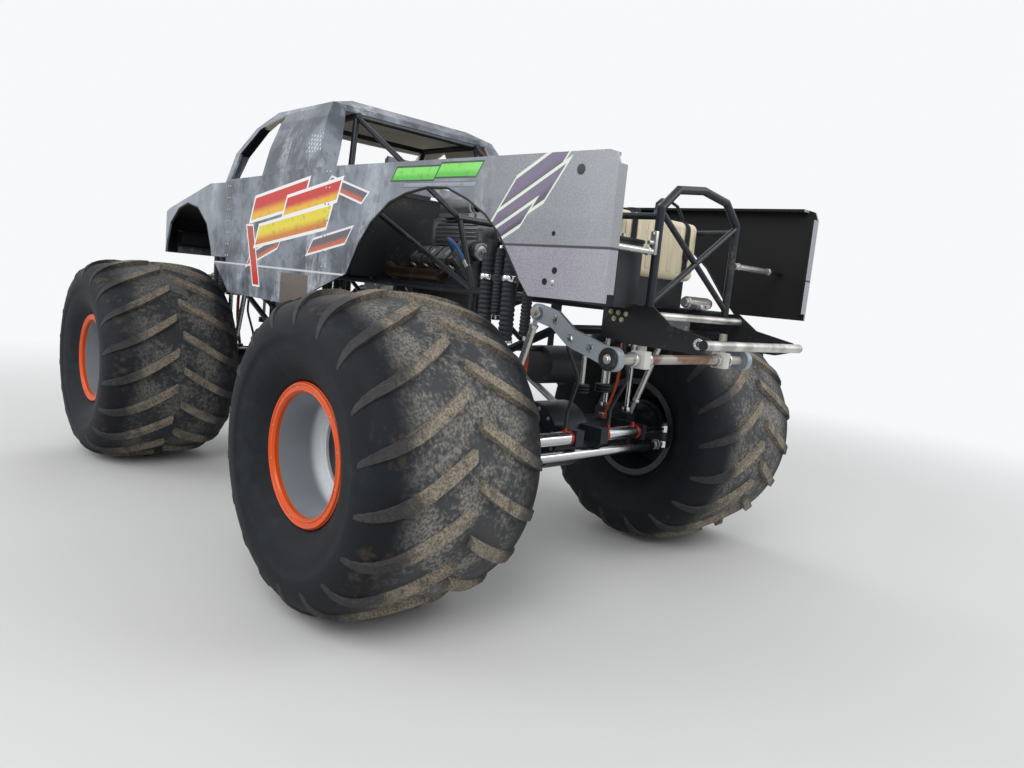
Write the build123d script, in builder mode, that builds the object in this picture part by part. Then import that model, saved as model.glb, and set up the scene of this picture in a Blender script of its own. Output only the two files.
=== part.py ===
from build123d import *
import math
import os

os.makedirs("parts", exist_ok=True)

# Millimetres. X points forward, Y left, Z up, and the ground is at Z = 0.

# Overall sizes
overall_length = 5900
wheelbase = 3600
rear_share = 0.6
track = 2590
tyre_radius = 838
tyre_width = 1060

# Axle stations
rear_overhang = rear_share * (overall_length - wheelbase)
front_overhang = overall_length - wheelbase - rear_overhang
rear_x = rear_overhang - overall_length / 2
front_x = rear_x + wheelbase
mid_x = (rear_x + front_x) / 2
nose_x = overall_length / 2
tail_x = -overall_length / 2
axle_z = tyre_radius
wheel_y = track / 2

# Clearances
turn_gap = 0.5
slide_gap = 1

# Wheel sizes, taken from the wheel centre
bead_radius = 322
bead_half = 405
rim_wall = 12
ring_radius = 363
ring_thick = 22
flange_radius = 352
lug_height = 38
lug_count = 18
# Lug stations: distance from the centre line, shift round the tyre, width, tip radius
lug_stations = [
    (25, 0, 58, tyre_radius),
    (255, -150, 58, tyre_radius - 7),
    (450, -232, 54, tyre_radius - 44),
    (508, -255, 46, tyre_radius - 92),
]
disc_y = -40
disc_thick = 20
step_y = 140
step_radius = 262
hub_radius = 200
hub_cap_radius = 140
hub_cap_length = 110

# Knuckle and steering, taken from the kingpin
kingpin_y = 820
kingpin_radius = 25
knuckle_radius = 60
knuckle_half = 150
spindle_radius = 120
spindle_face_y = 1000
hub_depth = 140
arm_back = 325
pin_y = kingpin_y
arm_half = 30
pin_radius = 12
eye_radius = 38
eye_thick = 44

# Axle housings
axle_radius = 110
yoke_web_y = 715
yoke_wall = 25
yoke_half = 75
ram_radius = 40
ram_rod_radius = 18
ram_inner_y = 110
ram_outer_y = 560

# Shock places, taken from the axle centre
strut_front = 40
strut_back = 150
strut_foot = 40
strut_radius = 38
strut_rod_z = 1440
clamp_z = 1780

# Frame levels and widths
rail_y = 380
rail_radius = 25
post_radius = 22
brace_radius = 19
stay_radius = 14
belly_z = 1200
deck_z = 1700
tower_z = 1990
shock_y = 600
tower_y = 540
plate_y = 400
plate_thick = 12

# Body sizes
shell = 15
body_half = 955
body_low_z = 1716
crease_z = 1728
rocker_low_z = 1475
belt_z = 2364
rail_top_z = 2416
tank_low_z = 1880
tank_half = 370
cradle_xs = (rear_x - 600, rear_x - 350)
bed_top_z = 2378
split_x = mid_x - 500
nose_split_x = mid_x + 1060
bed_end_x = tail_x + 242


def keep(piece, label):
    """Labels a finished piece and writes it out."""
    piece.label = label
    export_step(piece, f"parts/{label}.step")


def bar(start, end, radius):
    """A straight round bar between two points."""
    line = Vector(end) - Vector(start)
    with BuildPart() as piece:
        with BuildSketch(Plane(origin=start, z_dir=line)):
            Circle(radius)
        extrude(amount=line.length)
    return piece.part


def bent_bar(points, radius):
    """A round bar bent along a row of points, with mitred corners."""
    with BuildPart() as piece:
        with BuildLine() as route:
            Polyline(*points)
        with BuildSketch(Plane(origin=points[0], z_dir=Vector(points[1]) - Vector(points[0]))):
            Circle(radius)
        sweep(path=route.line, transition=Transition.RIGHT)
    return piece.part


def flip(point):
    """The mirror image of a point across the centre plane."""
    return (point[0], -point[1], point[2])


def bars(rows):
    """Round bars from rows of start, end and radius."""
    return [bar(*row) for row in rows]


def paired_bars(rows):
    """Round bars from rows of start, end and radius, on both sides."""
    return bars(rows) + bars((flip(a), flip(b), radius) for a, b, radius in rows)


def side_plate(points, y, thick):
    """A flat plate from XZ points, lying from y outward by thick."""
    with BuildPart() as piece:
        with BuildSketch(Plane(origin=(0, y, 0), x_dir=(1, 0, 0), z_dir=(0, -1, 0))):
            with BuildLine():
                Polyline(*points, close=True)
            make_face()
        extrude(amount=-thick)
    return piece.part


def block(low, high):
    """A box between two corner points."""
    size = [abs(b - a) for a, b in zip(low, high)]
    middle = [(a + b) / 2 for a, b in zip(low, high)]
    with BuildPart() as piece:
        with Locations(tuple(middle)):
            Box(*size)
    return piece.part


def hose(points, bend, radius):
    """A hose along a row of points, with rounded bends."""
    with BuildPart() as piece:
        with BuildLine() as route:
            FilletPolyline(*points, radius=bend)
        with BuildSketch(Plane(origin=points[0], z_dir=Vector(points[1]) - Vector(points[0]))):
            Circle(radius)
        sweep(path=route.line)
    return piece.part


def both_sides(piece):
    """A piece together with its mirror image across the centre plane."""
    return piece + mirror(piece, about=Plane.XZ)


# Wheel pieces, built round the wheel centre with the outer face towards +Y

def make_lug():
    """One tread bar, reaching from the centre line over the shoulder."""
    with BuildPart() as lug:
        for y, shift, width, tip in lug_stations:
            root = tip - lug_height - 12
            turn = shift / tip
            top = width / tip / 2
            foot = 1.25 * top
            edge = tip / math.cos(top)
            corners = [(root, turn - foot), (edge, turn - top), (edge, turn + top), (root, turn + foot)]
            with BuildSketch(Plane(origin=(0, y, 0), x_dir=(1, 0, 0), z_dir=(0, -1, 0))):
                with BuildLine():
                    Polyline(*[(r * math.sin(t), r * math.cos(t)) for r, t in corners], close=True)
                make_face()
        loft(ruled=True)
    return lug.part


def make_tyre():
    half = tyre_width / 2
    crown = tyre_radius - lug_height
    outer = [
        ((bead_half + 18, flange_radius + 16), (half - 14, 500), (half - 2, 640)),
        ((half - 2, 640), (half - 40, crown - 73), (half - 130, crown - 24)),
    ]
    lug = make_lug()
    with BuildPart() as tyre:
        with BuildSketch(Plane.YZ):
            with BuildLine():
                Line((bead_half, bead_radius), (bead_half, flange_radius))
                Line((bead_half, flange_radius), (bead_half + 18, flange_radius + 16))
                for points in outer:
                    ThreePointArc(*points)
                ThreePointArc((half - 130, crown - 24), (half / 2, crown - 7), (0, crown))
                Line((0, crown), (0, crown - 48))
                Line((0, crown - 48), (half - 150, crown - 48))
                Line((half - 150, crown - 48), (half - 26, 640))
                ThreePointArc((half - 26, 640), (half - 50, 505), (bead_half - 30, flange_radius))
                Line((bead_half - 30, flange_radius), (bead_half - 30, bead_radius))
                Line((bead_half - 30, bead_radius), (bead_half, bead_radius))
            make_face()
            mirror(about=Plane.YZ)
        revolve(axis=Axis.Y)
        lugs = []
        for count in range(lug_count):
            lugs.append(Rot(0, count * 360 / lug_count, 0) * lug)
            lugs.append(Rot(0, (count + 0.5) * 360 / lug_count, 0) * mirror(lug, about=Plane.XZ))
        add(lugs)
    return tyre.part


def make_rim():
    inner = bead_radius - rim_wall
    with BuildPart() as rim:
        with BuildSketch(Plane.YZ):
            with BuildLine():
                Polyline(
                    (-bead_half - rim_wall, flange_radius),
                    (-bead_half, flange_radius),
                    (-bead_half, bead_radius),
                    (bead_half, bead_radius),
                    (bead_half, inner),
                    (step_y + disc_thick, inner),
                    (step_y + disc_thick, step_radius),
                    (step_y, step_radius),
                    (step_y, inner - 2 * rim_wall),
                    (disc_y + disc_thick, inner - 2 * rim_wall),
                    (disc_y + disc_thick, hub_cap_radius),
                    (disc_y, hub_cap_radius),
                    (disc_y, inner),
                    (-bead_half - rim_wall, inner),
                    close=True,
                )
            make_face()
        revolve(axis=Axis.Y)
    return rim.part


def make_ring():
    inner = bead_radius - rim_wall
    face = bead_half + ring_thick
    with BuildPart() as ring:
        with BuildSketch(Plane.YZ):
            with BuildLine():
                Polyline(
                    (bead_half, inner),
                    (bead_half, flange_radius),
                    (face, ring_radius),
                    (face + 8, ring_radius - 8),
                    (face + 8, inner + 6),
                    (face, inner),
                    close=True,
                )
            make_face()
        revolve(axis=Axis.Y)
    return ring.part


def make_hub():
    back = spindle_face_y - wheel_y
    with BuildPart() as hub:
        with BuildSketch(Plane.YZ):
            with BuildLine():
                Polyline(
                    (back, spindle_radius + turn_gap),
                    (back, hub_radius - 10),
                    (back + 20, hub_radius),
                    (disc_y, hub_radius),
                    (disc_y, hub_cap_radius),
                    (disc_y + hub_cap_length, hub_cap_radius),
                    (disc_y + hub_cap_length + 30, hub_cap_radius - 30),
                    (disc_y + hub_cap_length + 30, 0),
                    (back + hub_depth + turn_gap, 0),
                    (back + hub_depth + turn_gap, spindle_radius + turn_gap),
                    close=True,
                )
            make_face()
        revolve(axis=Axis.Y)
    return hub.part


def make_knuckle():
    """The rear left knuckle, built round its kingpin with the arm pointing back."""
    pin = (-arm_back, pin_y - kingpin_y)
    spindle = spindle_face_y - kingpin_y
    with BuildPart() as knuckle:
        Cylinder(knuckle_radius, 2 * knuckle_half)
        with BuildSketch(Plane.XY.offset(-knuckle_half - yoke_wall)):
            Circle(kingpin_radius)
        extrude(amount=2 * (knuckle_half + yoke_wall))
        with BuildSketch(Plane.XZ):
            Circle(spindle_radius)
        extrude(amount=-spindle - hub_depth)
        with BuildSketch(Plane.XZ.offset(-spindle + 45)):
            Circle(hub_radius - 30)
        extrude(amount=-45)
        with BuildSketch(Plane.XY.offset(-arm_half)):
            with BuildLine():
                Polyline((0, -45), (pin[0], pin[1] - 38), (pin[0], pin[1] + 38), (0, 55), close=True)
            make_face()
            with Locations(pin):
                Circle(eye_radius)
        extrude(amount=2 * arm_half)
        with BuildSketch(Plane.XZ.offset(80)):
            Rectangle(4 * arm_back, 4 * knuckle_half)
        extrude(amount=400, mode=Mode.SUBTRACT)
        with BuildSketch(Plane.XY.offset(-arm_half - slide_gap - eye_thick)):
            with Locations(pin):
                Circle(pin_radius)
        extrude(amount=eye_thick + slide_gap)
        with BuildSketch(Plane.XY.offset(-arm_half - 2 * slide_gap - eye_thick - 16)):
            with Locations(pin):
                RegularPolygon(20, 6)
        extrude(amount=16)
        with BuildSketch(Plane.XY.offset(-arm_half - 3 * slide_gap - eye_thick)):
            with Locations(pin):
                Circle(pin_radius)
        extrude(amount=4 * slide_gap)
    return knuckle.part


def make_tie_rod():
    """A steering tie rod, centred between the two arm pins."""
    with BuildPart() as rod:
        add(bar((0, -pin_y, 0), (0, pin_y, 0), eye_thick / 2 - 2))
        with BuildSketch(Plane.XY.offset(-eye_thick / 2)):
            with Locations((0, pin_y), (0, -pin_y)):
                Circle(eye_radius)
        extrude(amount=eye_thick)
        with BuildSketch(Plane.XY.offset(-eye_thick / 2)):
            with Locations((0, pin_y), (0, -pin_y)):
                Circle(pin_radius + turn_gap)
        extrude(amount=eye_thick, mode=Mode.SUBTRACT)
    return rod.part


def make_ram_rods():
    """The two steering ram rods of an axle, centred between the arms."""
    with BuildPart() as rods:
        add(bar((0, ram_outer_y - 230, 0), (0, pin_y, 0), ram_rod_radius))
        with BuildSketch(Plane.XY.offset(-eye_thick / 2)):
            with Locations((0, pin_y)):
                Circle(eye_radius)
        extrude(amount=eye_thick)
        with BuildSketch(Plane.XY.offset(eye_thick / 2)):
            with Locations((0, pin_y)):
                RegularPolygon(20, 6)
        extrude(amount=14)
        mirror(about=Plane.XZ)
    return rods.part


def make_yoke():
    """The left end of an axle housing, which holds the kingpin."""
    with BuildPart() as yoke:
        with BuildSketch(Plane.XZ.offset(-yoke_web_y)):
            Rectangle(2 * yoke_half, 2 * (knuckle_half + yoke_wall))
        extrude(amount=-yoke_wall)
        for low in (knuckle_half, -knuckle_half - yoke_wall):
            with BuildSketch(Plane.XY.offset(low)):
                with BuildLine():
                    Polyline(
                        (-yoke_half, yoke_web_y),
                        (-yoke_half + 15, kingpin_y),
                        (yoke_half - 15, kingpin_y),
                        (yoke_half, yoke_web_y),
                        close=True,
                    )
                make_face()
                with Locations((0, kingpin_y)):
                    Circle(yoke_half - 15)
                    Circle(kingpin_radius + turn_gap, mode=Mode.SUBTRACT)
            extrude(amount=yoke_wall)
    return yoke.part


def make_ram():
    """The left steering ram's cylinder with the two blocks that carry it."""
    ram_z = arm_half + slide_gap + eye_thick / 2
    low, high = ram_z - ram_radius - 8, ram_z + ram_radius + 8
    back = -arm_back - ram_radius - 8
    with BuildPart() as ram:
        add(block((back, ram_inner_y - 30, low), (-axle_radius + 30, ram_inner_y + 40, high)))
        add(block((back, ram_outer_y - 60, low), (-axle_radius + 30, ram_outer_y - 20, high)))
        add(bar((-arm_back, ram_inner_y, ram_z), (-arm_back, ram_outer_y, ram_z), ram_radius))
        bore_start = (-arm_back, ram_inner_y + 40, ram_z)
        bore_end = (-arm_back, ram_outer_y, ram_z)
        add(bar(bore_start, bore_end, ram_rod_radius + turn_gap), mode=Mode.SUBTRACT)
    return ram.part


def make_axle():
    """The rear axle housing round its own centre, with rams on the back."""
    heel = (yoke_web_y - 40, yoke_web_y)
    seat_top = axle_radius + strut_foot
    pieces = [
        bar((0, -yoke_web_y, 0), (0, yoke_web_y, 0), axle_radius),
        bar((0, -150, 0), (0, 150, 0), 215),
        bar((60, 0, 0), (260, 0, 0), 140),
    ]
    left = [make_yoke(), make_ram()]
    left.append(block((-strut_back - 45, shock_y - 55, 60), (strut_front + 45, shock_y + 40, seat_top)))
    pieces += left + [mirror(piece, about=Plane.XZ) for piece in left]
    with BuildPart() as axle:
        add(pieces)
    return axle.part


tyre_shape = make_tyre()
rim_shape = make_rim()
ring_shape = make_ring()
hub_shape = make_hub()
knuckle_shape = make_knuckle()
tie_rod_shape = make_tie_rod()
ram_rods_shape = make_ram_rods()
axle_shape = make_axle()

# Ends of the truck: name, axle station, and 1 where the arms point back
ends = [("rear", rear_x, 1), ("front", front_x, -1)]
wheel_shapes = [("tyre", tyre_shape), ("rim", rim_shape), ("ring", ring_shape), ("hub", hub_shape)]

for end, x, way in ends:
    for kind, shape in wheel_shapes:
        with BuildPart() as left:
            with Locations((x, wheel_y, axle_z)):
                add(shape)
        with BuildPart() as right:
            mirror(left.part, about=Plane.XZ)
        keep(left.part, f"{kind}_{end}_left")
        keep(right.part, f"{kind}_{end}_right")
    turned = knuckle_shape if way == 1 else mirror(knuckle_shape, about=Plane.YZ)
    with BuildPart() as left:
        with Locations((x, kingpin_y, axle_z)):
            add(turned)
    with BuildPart() as right:
        mirror(left.part, about=Plane.XZ)
    keep(left.part, f"knuckle_{end}_left")
    keep(right.part, f"knuckle_{end}_right")
    with BuildPart() as tie_rod:
        with Locations((x - way * arm_back, 0, axle_z - arm_half - slide_gap - eye_thick / 2)):
            add(tie_rod_shape)
    keep(tie_rod.part, f"tie_rod_{end}")
    with BuildPart() as ram_rods:
        with Locations((x - way * arm_back, 0, axle_z + arm_half + slide_gap + eye_thick / 2)):
            add(ram_rods_shape)
    keep(ram_rods.part, f"ram_rods_{end}")

# Frame: lower rails, upper rails and the bars between them
rail_in = 450
station_xs = [
    rear_x - 0.355 * (rear_overhang - rail_in),
    rear_x + 420,
    mid_x - 530,
    mid_x + 470,
    front_x - 420,
    front_x + 0.7 * (front_overhang - rail_in),
]
low_rail = [
    (tail_x + rail_in, rail_y, 1590),
    (station_xs[0], rail_y, 1540),
    (station_xs[1], rail_y, belly_z),
    (station_xs[4], rail_y, belly_z),
    (station_xs[5], rail_y, 1540),
    (nose_x - rail_in, rail_y, 1590),
]
low_heights = [1540, belly_z, belly_z, belly_z, belly_z, 1540]

rail_ends = [(tail_x + rail_in, rail_y, deck_z), (nose_x - rail_in, rail_y, deck_z)]
side_rows = [(rail_ends[0], rail_ends[1], rail_radius)]
cross_rows = []
for station, low in zip(station_xs, low_heights):
    side_rows.append(((station, rail_y, low), (station, rail_y, deck_z), post_radius))
    for level in (low, deck_z):
        cross_rows.append(((station, -rail_y, level), (station, rail_y, level), brace_radius))
for dx in (-30, 770):
    foot = (mid_x + dx, rail_y, belly_z)
    side_rows.append((foot, (mid_x + dx, body_half - shell, 1600), stay_radius + 2))
for a, b in ((1, 2), (3, 4)):
    start = (station_xs[a], rail_y, low_heights[a])
    side_rows.append((start, (station_xs[b], rail_y, deck_z), brace_radius))
for end, x, way in ends:
    for dx in (-way * strut_back, way * strut_front):
        side_rows.append(((x + dx, rail_y, deck_z), (x + dx, tower_y, tower_z), brace_radius))
    side_rows.append(((x - way * 190, tower_y, tower_z), (x + way * 80, tower_y, tower_z), post_radius))
    cross_rows.append(((x - way * 55, -tower_y, tower_z), (x - way * 55, tower_y, tower_z), brace_radius))
with BuildPart() as frame_lower:
    add([bent_bar(low_rail, rail_radius)] + bars(side_rows))
    mirror(about=Plane.XZ)
frame = frame_lower.part
keep(frame, "frame_lower")

# Cage round the driver and the hoop at the back
hoop_x = tail_x + 435
cage_front_x = mid_x + 530
cage_back_x = mid_x - 140
cage_top_z = 2850
dash_x = mid_x + 1010
belt_x = mid_x - 230
stay_x = rear_x + 570
stay_foot = (rear_x + 420, rail_y, deck_z)
dash_bar = (dash_x, 680, 2320)
belt_bar = (belt_x, 640, 2330)
stay_bar = (stay_x, 420, 2150)
roof_back = (cage_back_x, 560, cage_top_z)
roof_front = (cage_front_x, 540, cage_top_z)
cage_rows = [
    ((belt_x, rail_y, deck_z), belt_bar, post_radius),
    (belt_bar, roof_back, post_radius),
    ((cage_back_x - 40, 561, cage_top_z), (cage_front_x + 40, 539, cage_top_z), rail_radius - 1),
    (roof_front, dash_bar, post_radius),
    (dash_bar, (dash_x - 60, rail_y, deck_z), post_radius - 1),
    (belt_bar, stay_foot, brace_radius),
    (roof_back, stay_bar, brace_radius),
    (stay_bar, stay_foot, brace_radius - 1),
    ((hoop_x, 345, 2190), (hoop_x, -345, 1740), stay_radius + 2),
    ((hoop_x, 360, 2170), (hoop_x + 400, 420, 2170), stay_radius + 3),
    ((hoop_x + 400, 420, 2190), (hoop_x + 400, rail_y, deck_z), stay_radius + 4),
    ((hoop_x, 360, 1990), (hoop_x, body_half - shell, 1990), stay_radius),
    ((belt_x + 30, 640, 2300), (belt_x + 30, body_half - shell, 2300), stay_radius),
    ((dash_x - 30, 660, 2290), (dash_x - 30, body_half - shell, 2290), stay_radius),
]
cage_cross = [
    ((cage_back_x, -560, cage_top_z), (cage_back_x, 560, cage_top_z), brace_radius),
    ((cage_front_x, -540, cage_top_z), (cage_front_x, 540, cage_top_z), brace_radius),
    ((dash_x, -700, 2320), (dash_x, 700, 2320), rail_radius),
    ((belt_x, -660, 2330), (belt_x, 660, 2330), rail_radius),
    ((stay_x, -440, 2150), (stay_x, 440, 2150), post_radius),
]
hoop_top = [(hoop_x, 360, deck_z), (hoop_x, 360, 2210), (hoop_x, 230, 2320), (hoop_x, 0, 2350)]
hoop_line = hoop_top + [flip(p) for p in reversed(hoop_top[:-1])]

with BuildPart() as roll_cage:
    add([bent_bar(hoop_line, post_radius)] + paired_bars(cage_rows))
    add(frame, mode=Mode.SUBTRACT)
cage = roll_cage.part
keep(cage, "roll_cage")

# Cross bars between the two sides, with the tow bars at the ends
bumper_radius = 24
bumper_z = 1566
shackle_radius = 14
shackle_in = 85
bumper_x = tail_x + bumper_radius
for way in (1, -1):
    cross_rows.append(((way * bumper_x, -470, bumper_z), (way * bumper_x, 470, bumper_z), bumper_radius))
    upper_x = way * (tail_x + 362)
    cross_rows.append(((upper_x, -rail_y - 30, 1676), (upper_x, rail_y + 30, 1676), 20))
drum_z = 1290
drum_radius = 120
drum_bar_z = drum_z + drum_radius - 20
cross_rows.append(((rear_x, -rail_y, drum_bar_z), (rear_x, rail_y, drum_bar_z), brace_radius))
with BuildPart() as cross_bars:
    add(bars(cross_rows + cage_cross))
    for x in cradle_xs:
        add(block((x - 25, -rail_y, deck_z + 10), (x + 25, rail_y, tank_low_z)))
    add(frame, mode=Mode.SUBTRACT)
    add(cage, mode=Mode.SUBTRACT)
crosses = cross_bars.part
keep(crosses, "cross_bars")

# Rear and front side plates that carry the tow bars
plate_points = [
    (tail_x + 687, deck_z + 3),
    (tail_x + 372, deck_z + 19),
    (tail_x + 252, 1637),
    (tail_x + 27, 1594),
    (tail_x + 16, 1547),
    (tail_x + 120, 1516),
    (tail_x + 455, 1519),
    (tail_x + 687, 1535),
]
with BuildPart() as tow_frames:
    for points, way in ((plate_points, 1), ([(-x, z) for x, z in plate_points], -1)):
        add(both_sides(side_plate(points, rail_y + rail_radius, plate_thick)))
        eye_x = way * (tail_x + shackle_in)
        eye = bar((eye_x, -rail_y - 60, bumper_z), (eye_x, rail_y + 60, bumper_z), shackle_radius)
        add(eye, mode=Mode.SUBTRACT)
    add(frame, mode=Mode.SUBTRACT)
    add(cage, mode=Mode.SUBTRACT)
    add(crosses, mode=Mode.SUBTRACT)
keep(tow_frames.part, "tow_frames")

# Axles
turned = {1: axle_shape, -1: mirror(axle_shape, about=Plane.YZ)}
with BuildPart() as axles:
    for end, x, way in ends:
        with Locations((x, 0, axle_z)):
            add(turned[way])
axle_pair = axles.part
keep(axle_pair, "axles")

# Shocks: two struts and two slim reservoirs a corner, held by one clamp
foot_z = axle_z + axle_radius + strut_foot
reservoirs = [(-55, 1556, 1960), (-300, 1464, 1810)]
with BuildPart() as shocks:
    pieces = []
    for end, x, way in ends:
        for dx in (-strut_back, strut_front):
            sx = x + way * dx
            pieces.append(bar((sx, shock_y, foot_z), (sx, shock_y, strut_rod_z + 40), strut_radius - 20))
            pieces.append(bar((sx, shock_y, strut_rod_z), (sx, shock_y, tower_z - 60), strut_radius))
            pieces.append(block((sx - 20, tower_y - 2, tower_z - 80), (sx + 20, shock_y + 10, tower_z + 20)))
        for dx, low, high in reservoirs:
            pieces.append(bar((x + way * dx, shock_y, low), (x + way * dx, shock_y, high), strut_radius - 12))
        clamp = [x + way * 60, x - way * 330]
        pieces.append(block((clamp[0], shock_y - 14, clamp_z), (clamp[1], shock_y + 14, clamp_z + 26)))
    add(pieces + [mirror(piece, about=Plane.XZ) for piece in pieces])
    add(frame, mode=Mode.SUBTRACT)
    add(crosses, mode=Mode.SUBTRACT)
keep(shocks.part, "shocks")

# Link bars between axles and frame
with BuildPart() as links:
    for end, x, way in ends:
        inner_x = x + way * 1250
        add(bar((x + way * 60, 330, axle_z - 60), (inner_x, rail_y, belly_z), 26))
        add(bar((x + way * 30, 250, axle_z + 80), (inner_x - way * 100, rail_y, belly_z + 180), 24))
    mirror(about=Plane.XZ)
    add(bar((rear_x + 1150, -rail_y, belly_z + 180), (rear_x + 1150, rail_y, belly_z + 180), 20))
    add(bar((front_x - 1150, -rail_y, belly_z + 180), (front_x - 1150, rail_y, belly_z + 180), 20))
    for carrier in (frame, crosses, axle_pair):
        add(carrier, mode=Mode.SUBTRACT)
keep(links.part, "link_bars")

# Anti-roll bars behind each axle: torsion tube, flat arms and drop links
sway_points = [(408, 790), (546, 763), (666, 682), (801, 648), (944, 608)]
hanger_z = {"rear": 1600, "front": deck_z}
arm_tall = 96
arm_thick = 22


def sway_arm(points, y):
    """A flat arm along XZ points, with rounded ends, lightening holes and its hub."""
    with BuildPart() as arm:
        with BuildSketch(Plane(origin=(0, y, 0), x_dir=(1, 0, 0), z_dir=(0, -1, 0))):
            for start, end in zip(points, points[1:]):
                run = Vector(end) - Vector(start)
                with Locations((Vector(start) + Vector(end)) / 2):
                    SlotCenterToCenter(run.length, arm_tall, rotation=math.degrees(math.atan2(run.Y, run.X)))
            with Locations(*points[1:-1]):
                Circle(17, mode=Mode.SUBTRACT)
        extrude(amount=-arm_thick)
        with BuildSketch(Plane(origin=(0, y - 14, 0), x_dir=(1, 0, 0), z_dir=(0, -1, 0))):
            with Locations(points[-1]):
                Circle(arm_tall / 2 + 14)
        extrude(amount=-arm_thick - 28)
    return arm.part


with BuildPart() as sway:
    pieces = []
    for end, x, way in ends:
        points = [(x - dx, axle_z + dz) for dx, dz in sway_points]
        torsion_x, torsion_z = points[-1]
        link_top = (points[0][0], shock_y + arm_thick / 2, points[0][1])
        half = [
            sway_arm(points, shock_y),
            bar((torsion_x, rail_y, torsion_z), (torsion_x, rail_y, hanger_z[end]), 24),
            bar(link_top, (x - strut_back - 20, shock_y, axle_z + axle_radius), stay_radius),
        ]
        pieces += half + [mirror(piece, about=Plane.XZ) for piece in half]
        reach = shock_y + 30
        pieces.append(bar((torsion_x, -reach, torsion_z), (torsion_x, reach, torsion_z), 26))
    add(pieces)
    for carrier in (frame, crosses, axle_pair, tow_frames.part):
        add(carrier, mode=Mode.SUBTRACT)
keep(sway.part, "sway_bars")

# Bed sides with the rear arch cut out
rear_arch = [
    (-662, -2), (-579, 84), (-416, 288), (-296, 385), (-141, 465), (36, 528),
    (216, 536), (415, 508), (578, 459), (762, 342), (886, 209), (1011, 12),
]
arch_points = [(rear_x + dx, body_low_z + dz) for dx, dz in rear_arch]
bed_outline = [
    (split_x, crease_z),
    (split_x, rail_top_z),
    (bed_end_x + 60, bed_top_z),
    (bed_end_x + 20, bed_top_z - 12),
    (bed_end_x, bed_top_z - 60),
    (bed_end_x, body_low_z),
]
bed_points = bed_outline + arch_points
with BuildPart() as bedsides:
    add(side_plate(bed_points, body_half - shell, shell))
    lip = [
        (split_x, rail_top_z - shell),
        (split_x, rail_top_z),
        (bed_end_x + 60, bed_top_z),
        (bed_end_x + 60, bed_top_z - shell),
    ]
    add(side_plate(lip, body_half - 80, 80))
    add(block((bed_end_x, body_half - 60, body_low_z + 40), (bed_end_x + shell, body_half, bed_top_z - 60)))
    mirror(about=Plane.XZ)
    add(cage, mode=Mode.SUBTRACT)
keep(bedsides.part, "bedsides")

# Cab: station height, rear edge and front edge from the middle, half width
cab_table = [
    (belt_z, -340, 1140, body_half),
    (2600, -275, 1100, 895),
    (2800, -190, 920, 815),
    (2915, -124, 700, 745),
    (2975, -30, 530, 540),
]


def cab_solid(inset, drop):
    """The greenhouse as a lofted solid, smaller by inset and lower by drop."""
    with BuildPart() as piece:
        for height, back, front, half in cab_table:
            level = height - (drop if height > belt_z else 0)
            with BuildSketch(Plane.XY.offset(level)):
                with BuildLine():
                    b, f, w = mid_x + back + inset, mid_x + front - inset, half - inset
                    Line((b, w), (b, -w))
                    Line((b, -w), (f, -w))
                    ThreePointArc((f, -w), (f + 70, 0), (f, w))
                    Line((f, w), (b, w))
                make_face()
        loft(ruled=True)
    return piece.part


side_window = [(1050, 2385), (1020, 2590), (845, 2785), (510, 2880), (500, 2395)]
lower = [
    (split_x, crease_z),
    (split_x, rail_top_z),
    (mid_x - 140, rail_top_z),
    (nose_split_x, belt_z),
    (nose_split_x, crease_z),
]
rocker = [
    (nose_split_x + 247, crease_z),
    (nose_split_x - 69, rocker_low_z + 13),
    (split_x + 471, rocker_low_z),
    (split_x - 280, crease_z),
]
with BuildPart() as body_cab:
    add(cab_solid(0, 0))
    add(cab_solid(shell, shell), mode=Mode.SUBTRACT)
    with BuildSketch(Plane.XZ.offset(-body_half)):
        with BuildLine():
            Polyline(*[(mid_x + x, z) for x, z in side_window], close=True)
        make_face()
    extrude(amount=2 * body_half, mode=Mode.SUBTRACT)
    with BuildSketch(Plane.YZ.offset(mid_x + 590)):
        with BuildLine():
            Polyline((-850, 2400), (-690, 2860), (690, 2860), (850, 2400), close=True)
        make_face()
    extrude(amount=700, mode=Mode.SUBTRACT)
    with BuildSketch(Plane.YZ.offset(mid_x - 430)):
        with BuildLine():
            Polyline((-800, 2440), (-660, 2870), (660, 2870), (800, 2440), close=True)
        make_face()
    extrude(amount=400, mode=Mode.SUBTRACT)
    add(both_sides(side_plate(lower, body_half - shell, shell)))
    add(both_sides(side_plate(rocker, body_half - shell, shell)))
    add(cage, mode=Mode.SUBTRACT)
    add(frame, mode=Mode.SUBTRACT)
keep(body_cab.part, "body_cab")

# Nose: side outline met by a plan outline, then hollowed
nose_end_x = nose_x - 100
nose_reach = nose_end_x - front_x
front_arch = [
    (-434, 50), (-420, 100), (-305, 317), (-100, 454), (135, 496),
    (0.42 * nose_reach, 454), (0.67 * nose_reach, 317), (0.81 * nose_reach, 50),
]


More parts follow.
